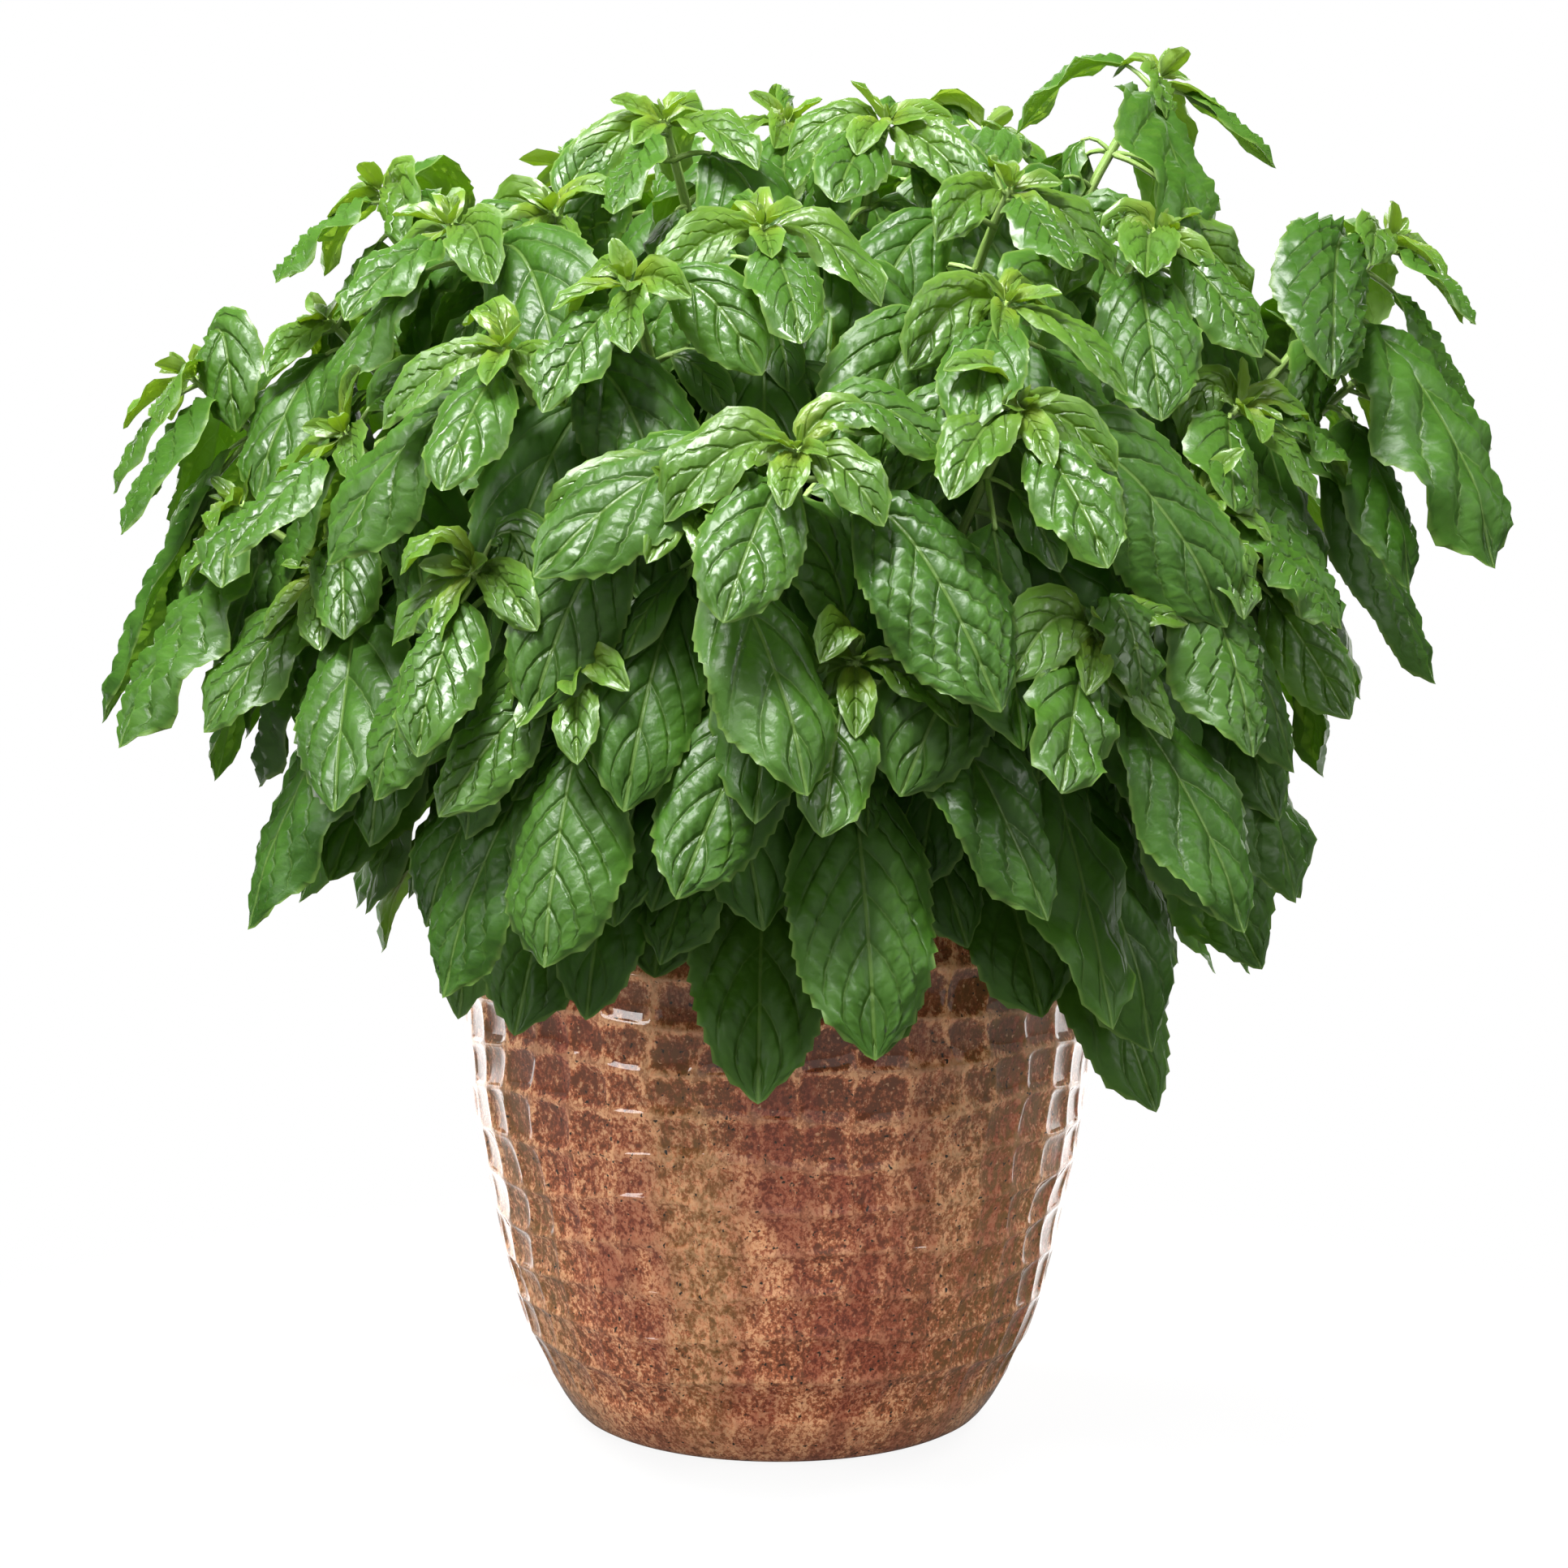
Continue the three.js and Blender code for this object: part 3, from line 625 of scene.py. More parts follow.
def blade_frames(leaf, u, twist):
    """Points along the midrib, with the ways along it, across the blade and out of its face."""
    s = leaf["stalk"] + (1 - leaf["stalk"]) * u
    steps = np.arange(LEAF_STEPS + 1) / LEAF_STEPS
    middles = (np.arange(LEAF_STEPS) + 0.5) / LEAF_STEPS
    mid = np.stack([np.interp(s, steps, np.array(leaf["mid"])[:, i]) for i in range(3)], 1)
    way = np.stack([np.interp(s, middles, np.array(leaf["way"])[:, i]) for i in range(3)], 1)
    way /= np.linalg.norm(way, axis=1)[:, None]
    face = np.cross(way, leaf["across"])
    a = (leaf["swing"] * np.minimum(1, s / (leaf["stalk"] + 0.12)))[:, None]
    a = a + twist * np.sin(u * 3.1)[:, None]
    across = leaf["across"] * np.cos(a) - face * np.sin(a)
    return mid, way, across, face * np.cos(a) + leaf["across"] * np.sin(a)


def split_alike(index, base, tip):
    """Triangles over a blade's grid, mirrored about its midrib, with a fan at each end."""
    a, b, c, d = index[:-1, :-1], index[:-1, 1:], index[1:, 1:], index[1:, :-1]
    half = a.shape[1] // 2
    left = np.stack([d, c, a, a, c, b], 2)[:, :half]
    right = np.stack([d, c, b, d, b, a], 2)[:, half:]
    first, last = index[0], index[-1]
    ends = [np.stack([first[:-1], first[1:], np.full(len(first) - 1, base)], 1),
            np.stack([last[1:], last[:-1], np.full(len(last) - 1, tip)], 1)]
    return np.concatenate([left.reshape(-1, 3), right.reshape(-1, 3)] + ends)


def add_blade(parts, leaf, seed, age):
    """A closed thin blade: quilted above, with a raised midrib below and saw-toothed edges."""
    draw = stream(seed)
    detail = leaf_detail(leaf)
    halves = np.array(HALF_COLUMNS[detail])
    t = np.concatenate([-halves[::-1], [0], halves])
    columns = len(t)
    stalk = leaf["stalk"]
    blade_length = leaf["length"] * (1 - stalk)
    width = leaf["width"]
    teeth = int(np.clip(round(blade_length / TOOTH_STEPS[detail]), 3, 17))
    k = np.arange(teeth)
    u = np.sort(np.concatenate([k[1:] / teeth, (k + TOOTH_PEAK) / teeth]))
    peak = np.isin(u, (k + TOOTH_PEAK) / teeth)
    rows = len(u)
    mid, way, across, face = blade_frames(leaf, u, 0.16 * (draw() - 0.5))

    # T runs from edge to edge, U from base to tip, A from midrib to edge, and H is the half width
    T, U = np.meshgrid(t, u)
    A = np.abs(T)
    H = (width / 2 * fine_outline(u))[:, None] * np.ones_like(T)
    side_sign = np.sign(T)

    # teeth on the edge, leaning towards the tip
    bite = TOOTH_HEIGHT * width * smooth(U, 0.1, 0.3) * (1 - smooth(U, 0.9, 1)) * (A > 0.99)
    wobble = np.array([0.7 + 0.6 * draw() for _ in range(rows * 2)]).reshape(rows, 2)
    wobble = np.where(T < 0, wobble[:, :1], wobble[:, 1:])
    tooth = np.where(peak[:, None], 1.0, -0.7) * wobble * bite
    lean = np.where(peak[:, None], 1.0, -0.2) * wobble * bite * 0.9

    # quilting between the side veins, then waves along the edge, a curled tip and a fold
    pairs = 4 + int(2.5 * draw())
    shift = draw()
    phase = (U - 0.26 * A - 0.2 * A * A) * pairs + shift
    pillow = np.sin(math.pi * phase) ** 2
    lobes = np.sin(A * 16 + np.floor(phase) * 2.3 + side_sign * 1.1 + 6.28 * draw())
    flat = smooth(A, 0.0, 0.3) * (1 - 0.8 * smooth(A, 0.72, 1))
    puff = pillow * (1 + 0.1 * lobes) * (flat * smooth(U, 0.0, 0.12) * (1 - smooth(U, 0.86, 1)))
    quilt = (0.095 if leaf["level"] < 2 else 0.08) * width * (0.6 + 0.7 * draw())
    ruffle = 0.075 * width * (0.4 + 1.2 * draw())
    waves = 1.4 + 1.6 * draw()
    starts = np.where(T < 0, 6.28 * draw(), 6.28 * draw())
    wave = np.sin(2 * math.pi * waves * U + starts) * A ** 2.2
    wave = wave * smooth(U, 0.05, 0.3) * (1 - smooth(U, 0.85, 1))
    curl = 0.16 * width * draw() * smooth(U, 0.6, 1) ** 2
    groove = 0.03 * width * np.exp(-((T * H / 1.6) ** 2)) * (1 - U)
    fold = FOLDS.get(leaf["level"], 0.0)
    lift = puff * quilt + wave * ruffle - groove - curl + (fold * A - leaf["cup"] * T * T) * H

    sideways = (T * H + side_sign * tooth)[:, :, None]
    top = mid[:, None, :] + across[:, None, :] * sideways + face[:, None, :] * lift[:, :, None]
    top = top + way[:, None, :] * lean[:, :, None]
    thick = BLADE_THICKNESS * (1 - A ** 4) * (0.5 + 0.5 * smooth(U, 0, 0.1))
    rib = (RIB_HEIGHT * (1 - U) ** 0.8 + 0.1) * (0.4 + 0.6 * min(1, width / 40))
    rib = rib * np.exp(-((T * H / 0.9) ** 2))
    low = top - face[:, None, :] * (thick + rib)[:, :, None]

    # numbers for the material: the grain's run, the place between veins, midrib and edge, and the tone
    grain = np.stack([U * blade_length, T * H, np.full_like(T, (seed % 97) * 31.0)], 2)
    place = np.stack([phase, A * H, (1 - A) * H], 2)
    base = midrib(leaf, stalk)[1]
    tip = np.array(leaf["mid"][-1]) - face[-1] * curl[-1].mean()
    ends = ([[0, 0, grain[0, 0, 2]], [blade_length, 0, grain[0, 0, 2]]],
            [[shift, 0, 0], [pairs + shift, 0, 0]])
    grain, place = [np.concatenate([each.reshape(-1, 3), each[:, 1:-1].reshape(-1, 3), end])
                    for each, end in zip((grain, place), ends)]
    points = np.concatenate([top.reshape(-1, 3), low[:, 1:-1].reshape(-1, 3), base[None], tip[None]])
    tones = np.tile(np.array([age, draw(), 0.0]), (len(points), 1))
    tones[:, 2] = np.concatenate([U.ravel(), U[:, 1:-1].ravel(), [0, 1]])

    n = rows * columns
    inner = columns - 2
    index = np.arange(n).reshape(rows, columns)
    below = index.copy()
    below[:, 1:-1] = n + np.arange(rows * inner).reshape(rows, inner)
    b, e = len(points) - 2, len(points) - 1
    over = split_alike(index, b, e)
    lower = split_alike(below, b, e)[:, ::-1]
    edge = np.zeros(len(points), dtype=bool)
    edge[index[:, [0, -1]]] = True
    edge[[b, e]] = True
    parts.add(points, [], np.concatenate([over, lower]), np.repeat([UPPER, UNDER], len(over)),
              grain=grain, place=place, tone=tones, edge=edge)


def add_leaf(parts, leaf, seed):
    age = AGES.get(leaf["level"], 1.0)
    add_blade(parts, leaf, seed, age)
    if leaf["width"] < 7:
        return
    if "stem_line" in leaf:
        line = list(leaf["stem_line"]) + [midrib(leaf, leaf["stalk"] + 0.04)[1]]
    else:
        line = [midrib(leaf, (leaf["stalk"] + 0.03) * k / 4)[1] for k in range(5)]
    size = min(1, leaf["width"] / 36)
    radii = np.linspace(0.75 + 0.45 * size, 0.35 + 0.45 * size, len(line))
    tube(parts, line, radii, 6, [age, 0.5, 0.6])


# Pot
# Heights of the rings of the rim, and how far each lies inside the wall's own radius
POT_RIM = [
    [192.5, 0.25], [194.5, 0.4], [196.2, 0.9], [197.4, 2], [198, 3.6],
    [198, 5.4], [197.4, 7.2], [196.2, 8.4], [194, 9],
]
# Points across one dent, closer together beside the ridges
DENT_PLACES = np.array([0, 0.055, 0.13, 0.29, 0.5, 0.71, 0.87, 0.945])
GLAZE_SKIN = 0.2
SOIL_FOOT = 150.0
CRUMBS = 260
CRUMB_SPREAD = 100.0


def wall_radius(z):
    """The outer wall's radius: the drawn profile, run on past both ends and made smooth."""
    fine = np.arange(-20.0, POT_HEIGHT + 21.0)
    heights, radii = np.array(POT_PROFILE).T
    raw = np.interp(fine, heights, radii)
    raw += np.where(fine < 0, fine * 0.83, 0) - np.where(fine > POT_HEIGHT, (fine - POT_HEIGHT) * 0.08, 0)
    kernel = np.hanning(17)
    soft = np.convolve(raw, kernel / kernel.sum(), "same")
    return np.interp(z, fine, soft)


def hollow_at(fx, fy):
    """One dent's depth: a shallow bowl with round corners between narrow ridges."""
    f = np.minimum(1, (np.abs(2 * fx) ** 3.2 + np.abs(2 * fy) ** 3.2) ** (1 / 3.2))
    return 0.42 * (1 - f ** 2) + 0.58 * (1 - f ** 8)


def hammered_wall():
    """Points of the dented wall, ring by ring, and how deep each lies in its dent."""
    per = len(DENT_PLACES)
    draw = stream(77)
    chance = np.array([draw() for _ in range(2 * DIMPLE_ROWS * DIMPLE_COLUMNS)])
    chance = chance.reshape(2, DIMPLE_ROWS, DIMPLE_COLUMNS)
    depth, drip = 0.6 + 0.7 * chance[0], np.maximum(0, 1.6 * chance[1] - 0.9)
    c, r = np.meshgrid(np.arange(DIMPLE_COLUMNS * per), np.arange(DIMPLE_ROWS * per + 1))
    x, y = c // per + DENT_PLACES[c % per], r // per + DENT_PLACES[r % per]
    cell = np.minimum(r // per, DIMPLE_ROWS - 1), c // per
    fx, fy = x - cell[1] - 0.5, y - cell[0] - 0.5
    drip = drip[cell] * smooth(y, 3, 6)
    pearl = np.exp(-(fx / 0.2) ** 2 - ((fy + 0.3) / 0.13) ** 2)
    channel = 1 - np.abs(2 * fy) ** 3
    dent = 0.75 * hollow_at(fx, fy) * depth[cell] + 0.35 * channel - 0.5 * drip * pearl

    # the columns and rows wander a little, as hammered by hand
    bearing = x * 2 * math.pi / DIMPLE_COLUMNS
    slip = 0.10 * np.sin(5 * bearing + 1.7 * y) + 0.09 * np.sin(3 * bearing - 2.1 * y + 1)
    slip = slip + 0.05 * np.sin(11 * bearing + y)
    drop = 0.09 * np.sin(4 * bearing + 0.6 * y) + 0.07 * np.sin(7 * bearing - 1.1 * y + 2)
    fade = np.minimum(1, np.minimum(y, DIMPLE_ROWS - y))
    z = DIMPLE_FOOT + (DIMPLE_TOP - DIMPLE_FOOT) / DIMPLE_ROWS * (y + drop * fade)
    radius = wall_radius(z) - DIMPLE_DEPTH * dent - GLAZE_SKIN
    turn = bearing + slip * 2 * math.pi / DIMPLE_COLUMNS
    return np.stack([radius * np.cos(turn), radius * np.sin(turn), z], 2), dent


def build_pot(materials):
    wall, dent = hammered_wall()
    rows, columns = dent.shape
    foot = wall_radius(0.0)
    below = [[foot - 4, 0], [foot - 1.4, 0.25], [wall_radius(1.2) - 0.5, 1.3]]
    below += [[wall_radius(z) - 0.25, z] for z in (3.0, 6.0, 9.0, 12.5)]
    above = [[wall_radius(min(z, 196)) - inset, z] for z, inset in POT_RIM]
    above += [[wall_radius(z) - POT_WALL, z] for z in (180, 150, 110, 70, 35, POT_FLOOR)]
    above += [[20, POT_FLOOR]]
    rings = [ring(r, z, columns) for r, z in below] + list(wall) + [ring(r, z, columns) for r, z in above]
    points = np.concatenate(rings + [[[0, 0, 0]], [[0, 0, POT_FLOOR]]])
    n = columns * len(rings)
    start = len(below) * columns
    place = np.zeros((len(points), 3))
    place[start:start + rows * columns, 0] = dent.ravel()
    parts = Parts()
    parts.add(points, grid_quads(len(rings), columns), end_fans(n, columns), 0, place=place)
    return parts.build("glazed_pot", materials)


# Soil
def crumb_shape():
    """Points and faces of a round crumb with twenty sides."""
    top, foot = np.full(5, 0), np.full(5, 11)
    k = np.arange(5)
    n = (k + 1) % 5
    level = np.full(5, 1 / math.sqrt(5))
    upper, lower = np.radians(72 * k), np.radians(72 * k + 36)
    high = np.stack([2 * level * np.cos(upper), 2 * level * np.sin(upper), level], 1)
    low = np.stack([2 * level * np.cos(lower), 2 * level * np.sin(lower), -level], 1)
    faces = [
        [top, 1 + k, 1 + n], [1 + k, 6 + k, 1 + n], [6 + k, 6 + n, 1 + n], [foot, 6 + n, 6 + k],
    ]
    points = np.round(np.concatenate([[[0, 0, 1]], high, low, [[0, 0, -1]]]), 2)
    return points, np.concatenate([np.stack(three, 1) for three in faces])


def add_crumbs(parts, draw):
    """Crumbs of bark and peat that lie on the soil."""
    shape, faces = crumb_shape()
    for _ in range(CRUMBS):
        r = CRUMB_SPREAD * math.sqrt(draw())
        a = 6.28 * draw()
        size = 1.1 + 2.2 * draw()
        bend = np.array([
            [1 + 0.8 * draw(), 0.3 * draw(), 0],
            [0.2 * draw(), 0.8 + 0.5 * draw(), 0.3 * draw()],
            [0, 0.2 * draw(), 0.5 + 0.4 * draw()],
        ])
        spin = 6.28 * draw()
        c, s = math.cos(spin), math.sin(spin)
        turn = np.array([[c, -s, 0], [s, c, 0], [0, 0, 1]])
        lump = shape @ bend @ turn * size
        lump *= 1 + 0.25 * np.array([[draw() - 0.5] for _ in range(len(shape))])
        place = vec(r * math.cos(a), r * math.sin(a), SOIL_TOP - 0.6)
        parts.add(lump + place, [], faces, 0, tone=[draw(), 0, 0])


def build_soil(materials):
    sides = 120
    level = SOIL_TOP - 1.6
    draw = stream(31)
    bumps = [[draw() * 0.12 + 0.03, draw() * 0.12 + 0.03, draw() * 6.28] for _ in range(14)]
    rings = []
    for r in list(np.linspace(3, 95, 26)) + [98.5, 104.0, 106.3]:
        flat = ring(r, 0, sides)
        x, y = flat[:, 0], flat[:, 1]
        z = sum(np.sin(a * x * (1 if k % 2 else -1) + b * y + c) for k, (a, b, c) in enumerate(bumps))
        z = z * 0.55 + np.array([draw() - 0.5 for _ in range(sides)]) * 1.1
        flat[:, 2] = level + np.clip(z, -3, 2.4)
        rings.append(flat)
    rings += [ring(float(wall_radius(z)) - POT_WALL - 0.8, z, sides) for z in (SOIL_TOP - 10, SOIL_FOOT)]
    points = np.concatenate(rings + [[[0, 0, level]], [[0, 0, SOIL_FOOT]]])
    n = len(rings) * sides
    parts = Parts()
    parts.add(points, grid_quads(len(rings), sides)[:, ::-1], end_fans(n, sides)[:, [0, 2, 1]], 0)
    add_crumbs(parts, draw)
    return parts.build("soil_top", materials)


# Materials
class Shade:
    """Short helpers to lay out the nodes of one material, or of the world."""

    def __init__(self, owner):
        self.owner = owner
        owner.use_nodes = True
        self.tree = owner.node_tree
        self.tree.nodes.clear()

    def put(self, kind, settings=None, **inputs):
        node = self.tree.nodes.new(kind)
        for key, value in (settings or {}).items():
            setattr(node, key, value)
        for key, value in inputs.items():
            numbered = key[0] == "i" and key[1:].isdigit()
            self.feed(node.inputs[int(key[1:]) if numbered else key.replace("_", " ")], value)
        return node

    def feed(self, socket, value):
        if isinstance(value, bpy.types.NodeSocket):
            self.tree.links.new(value, socket)
        elif socket.type == "RGBA":
            socket.default_value = (*value, 1)
        else:
            socket.default_value = value

    def math(self, operation, a, b=0):
        return self.put("ShaderNodeMath", {"operation": operation}, i0=a, i1=b).outputs[0]

    def times(self, a, b):
        return self.math("MULTIPLY", a, b)

    def plus(self, a, b):
        return self.math("ADD", a, b)

    def most(self, a, b):
        return self.math("MAXIMUM", a, b)

    def ramp(self, value, low, high, a=0, b=1):
        smoothly = {"interpolation_type": "SMOOTHSTEP"}
        return self.put("ShaderNodeMapRange", smoothly, i0=value, i1=low, i2=high, i3=a, i4=b).outputs[0]

    def mix_value(self, share, a, b):
        return self.put("ShaderNodeMix", i0=share, i2=a, i3=b).outputs[0]

    def mix(self, share, a, b):
        return self.put("ShaderNodeMix", {"data_type": "RGBA"}, i0=share, i6=a, i7=b).outputs[2]

    def noise(self, vector, scale, detail=3, rough=0.55, warp=0):
        values = dict(Vector=vector, Scale=scale, Detail=detail, Roughness=rough, Distortion=warp)
        return self.put("ShaderNodeTexNoise", **values).outputs[0]

    def stretch(self, vector, scale):
        return self.put("ShaderNodeMapping", i0=vector, i3=scale).outputs[0]

    def read(self, name):
        return self.put("ShaderNodeAttribute", {"attribute_name": name}).outputs["Vector"]

    def parts(self, vector):
        return self.put("ShaderNodeSeparateXYZ", i0=vector).outputs

    def object_place(self):
        return self.put("ShaderNodeTexCoord").outputs["Object"]

    def skin(self, tone, rough, height, depth, **more):
        bump = self.put("ShaderNodeBump", Strength=1, Distance=depth, Height=height).outputs[0]
        return self.put("ShaderNodeBsdfPrincipled", Base_Color=tone, Roughness=rough, Normal=bump, **more)

    def blend(self, share, a, b):
        return self.put("ShaderNodeMixShader", i0=share, i1=a.outputs[0], i2=b.outputs[0])

    def finish(self, shader, output="ShaderNodeOutputMaterial"):
        self.put(output, Surface=shader.outputs[0])
        return self.owner


def new_material(name):
    return Shade(bpy.data.materials.new(name))


def net_between_veins(m, grain, phase, from_rib, from_edge):
    """A fine net that crosses from one side vein to the next, 0 on its lines."""
    x, _, _ = m.parts(grain)
    warp = m.noise(grain, 0.12, 2)
    rung = m.plus(m.times(m.plus(x, from_rib), 0.19), m.times(warp, 1.8))
    rung = m.math("PINGPONG", m.plus(rung, m.times(m.math("FLOOR", phase), 0.37)), 0.5)
    rung = m.times(m.ramp(rung, 0, 0.4, 1, 0), m.ramp(warp, 0.3, 0.6, 0.35, 1))
    return m.math("SUBTRACT", 1, m.times(rung, m.ramp(from_edge, 1, 5)))


def leaf_material(name, under):
    m = new_material(name)
    grain = m.read("grain")
    phase, from_rib, from_edge = m.parts(m.read("place"))
    age, chance, u = m.parts(m.read("tone"))
    vein = m.math("PINGPONG", phase, 0.5)
    side = m.times(m.ramp(vein, 0.01, 0.045, 1, 0), m.ramp(from_edge, 0.5, 6, 0, 1))
    lines = m.most(m.ramp(from_rib, 0.3, 0.9, 1, 0), m.times(side, 0.6))
    cloud = m.noise(grain, 0.075, 2)
    net = net_between_veins(m, grain, phase, from_rib, from_edge)
    dimples = m.noise(grain, 0.42, 2, 0.5)
    cells = m.noise(grain, 1.3, 2, 0.6)

    # tones: bright when young, deep green when old, with painted shade in the valleys beside the side
    # veins, beside the midrib and along the fine net
    if under:
        old = m.mix(m.ramp(cloud, 0.3, 0.7), (0.1, 0.16, 0.055), (0.14, 0.2, 0.08))
        young = (0.22, 0.34, 0.075)
        middle = (0.15, 0.23, 0.08)
        line_tone = (0.25, 0.34, 0.14)
    else:
        old = m.mix(m.ramp(cloud, 0.3, 0.7), (0.019, 0.074, 0.005), (0.042, 0.13, 0.01))
        old = m.mix(m.ramp(chance, 0, 1, 0, 0.5), old, (0.058, 0.145, 0.015))
        young = m.mix(m.ramp(u, 0, 0.7), (0.26, 0.34, 0.03), (0.1, 0.21, 0.022))
        middle = (0.055, 0.145, 0.016)
        line_tone = (0.14, 0.24, 0.045)
    tone = m.mix(m.ramp(age, 0.05, 0.6), young, middle)
    tone = m.mix(m.ramp(age, 0.45, 1), tone, old)
    # painted shade: darker in the valleys beside the side veins, the midrib and the fine net
    painted_valley_shade = m.times(m.ramp(vein, 0.03, 0.2, 1, 0), m.ramp(from_edge, 1, 6))
    painted_valley_shade = m.most(painted_valley_shade, m.times(m.ramp(from_rib, 0.8, 4, 1, 0), 0.8))
    painted_valley_shade = m.most(painted_valley_shade, m.ramp(net, 0, 0.7, 0.35, 0))
    shade = m.ramp(age, 0.7, 1, 0.2 if under else 0.45, 0.2 if under else 0.32)
    tone = m.mix(m.times(painted_valley_shade, shade), tone, (0.012, 0.045, 0.004))
    tone = m.mix(m.ramp(cells, 0.3, 0.7, 0, 0.12), tone, line_tone)
    tone = m.mix(m.times(lines, 0.55), tone, line_tone)
    tone = m.mix(m.ramp(from_edge, 0.1, 1.1, 0.8, 0), tone, line_tone)

    # relief finer than the mesh: the net, dimples, and creases along the veins
    height = m.plus(m.times(net, 0.24), m.times(lines, 0.3 if under else -0.4))
    height = m.plus(height, m.times(dimples, 0.22))
    relief = m.times(m.ramp(age, 0.7, 1, 1, 0.75), m.ramp(chance, 0, 1, 0.7, 1.2))
    depth = m.times(m.ramp(from_edge, 1, 6), relief)
    crease = m.times(m.ramp(vein, 0, 0.15, -0.9, 0), depth)
    height = m.plus(height, m.times(crease, -0.5 if under else 1))
    height = m.plus(height, m.times(cells, 0.16))

    gloss = m.ramp(cloud, 0.25, 0.75, 0.5 if under else 0.32, 0.62 if under else 0.46)
    gloss = m.plus(gloss, m.ramp(age, 0.7, 1, -0.02, 0.08))
    shine = m.ramp(age, 0.7, 1, 0.3 if under else 0.72, 0.2 if under else 0.5)
    skin = m.skin(tone, gloss, height, 0.0006, IOR=1.45, Specular_IOR_Level=shine)
    glow_tone = m.mix(m.ramp(age, 0, 1), (0.6, 0.8, 0.08), (0.35, 0.62, 0.05))
    glow = m.put("ShaderNodeBsdfTranslucent", Color=glow_tone)
    return m.finish(m.blend(0.34, skin, glow))


def stem_material():
    m = new_material("green_stem")
    grain = m.read("grain")
    age, _, _ = m.parts(m.read("tone"))
    streak = m.noise(m.stretch(grain, (0.06, 0.9, 1)), 1, 3)
    fleck = m.noise(grain, 1.6, 2)
    tone = m.mix(m.ramp(streak, 0.3, 0.7), (0.17, 0.28, 0.06), (0.27, 0.4, 0.1))
    tone = m.mix(m.times(m.ramp(fleck, 0.5, 0.75), 0.3), tone, (0.32, 0.42, 0.16))
    tone = m.mix(m.ramp(age, 0, 0.6, 0.6, 0), tone, (0.3, 0.46, 0.07))
    height = m.plus(streak, m.times(fleck, 0.4))
    return m.finish(m.skin(tone, m.ramp(fleck, 0.3, 0.7, 0.38, 0.55), height, 0.0003))


def glaze_material():
    m = new_material("copper_glaze")
    where = m.object_place()
    dent, _, _ = m.parts(m.read("place"))
    x, _, z = m.parts(where)
    speck = m.noise(m.stretch(where, (1, 1, 0.8)), 850, 3, 0.7, 0.3)
    blot = m.noise(m.stretch(where, (1, 1, 0.7)), 330, 3, 0.6, 0.5)
    broad = m.noise(m.stretch(where, (1, 1, 0.6)), 17, 3, 0.5, 0.6)
    patch = m.noise(m.stretch(where, (1, 1, 0.45)), 11, 1, 0.5, 0.3)
    run = m.noise(m.stretch(where, (1, 1, 0.14)), 60, 3, 0.6)
    mixed = m.plus(m.times(speck, 0.55), m.times(blot, 0.45))
    high = m.ramp(z, 0.08, 0.17)
    ragged = m.math("SUBTRACT", m.noise(where, 150, 2, 0.5, 0.4), 0.5)
    # the dent's depth with a ragged edge: it places painted light on the ridges and painted shade in the
    # dents
    relief_light_and_shade = m.plus(dent, m.times(ragged, 1.6))

    # specks from tan to red-brown and dark, with painted light on the ridges and painted shade in the
    # dents, both stronger high up; the whole glaze is a little darker high up and near the foot
    spread = m.times(m.ramp(relief_light_and_shade, 0.15, 0.8, -0.055, 0.065), m.plus(m.times(high, 0.75), 0.25))
    spread = m.plus(m.plus(mixed, spread), m.ramp(broad, 0.35, 0.65, -0.035, 0.035))
    spread = m.plus(spread, m.plus(m.ramp(z, 0.085, 0.01, 0, 0.035), m.times(high, 0.02)))
    tan = m.mix(m.ramp(speck, 0.35, 0.65), (1, 0.55, 0.29), (0.86, 0.34, 0.155))
    tone = m.mix(m.ramp(spread, 0.45, 0.55), tan, (0.5, 0.135, 0.055))
    tone = m.mix(m.ramp(spread, 0.54, 0.62, 0, 0.9), tone, (0.16, 0.055, 0.024))

    # red runs, mostly down the middle, then olive patches
    middle = m.ramp(m.math("ABSOLUTE", x), 0.02, 0.08, 0.12, 0)
    red = m.times(m.ramp(run, 0.42, 0.6), m.ramp(m.plus(patch, middle), 0.46, 0.62))
    red_tone = m.mix(m.ramp(mixed, 0.45, 0.58), (0.4, 0.085, 0.045), (0.17, 0.03, 0.017))
    tone = m.mix(m.times(red, 0.75), tone, red_tone)
    olive = m.most(m.ramp(patch, 0.5, 0.4, 0, 0.8), m.ramp(x, 0.02, 0.09))
    olive = m.times(olive, m.ramp(blot, 0.35, 0.6, 0.15, 0.75))
    tone = m.mix(olive, tone, (0.21, 0.125, 0.03))

    # painted light on the ridges, painted shade in the hollows high up, and dark and light dots
    painted_ridge_light = m.times(m.ramp(relief_light_and_shade, 0, 0.45, 0.42, 0), m.plus(m.times(high, 0.7), 0.3))
    tone = m.mix(painted_ridge_light, tone, (0.62, 0.35, 0.18))
    tone = m.mix(m.times(m.ramp(relief_light_and_shade, 0.4, 0.95, 0, 0.6), high), tone, (0.12, 0.036, 0.018))
    dots = m.noise(where, 560, 1, 0.5)
    tone = m.mix(m.ramp(dots, 0.68, 0.74), tone, (0.03, 0.022, 0.014))
    tone = m.mix(m.ramp(dots, 0.3, 0.24, 0, 0.6), tone, (0.75, 0.42, 0.23))
    height = m.plus(m.times(mixed, 0.3), m.noise(where, 140, 2))
    coat = dict(Coat_Weight=1, Coat_Roughness=0.04, Coat_IOR=1.55, Specular_IOR_Level=0.1)
    return m.finish(m.skin(tone, m.ramp(speck, 0.35, 0.65, 0.35, 0.55), height, 0.0006, **coat))


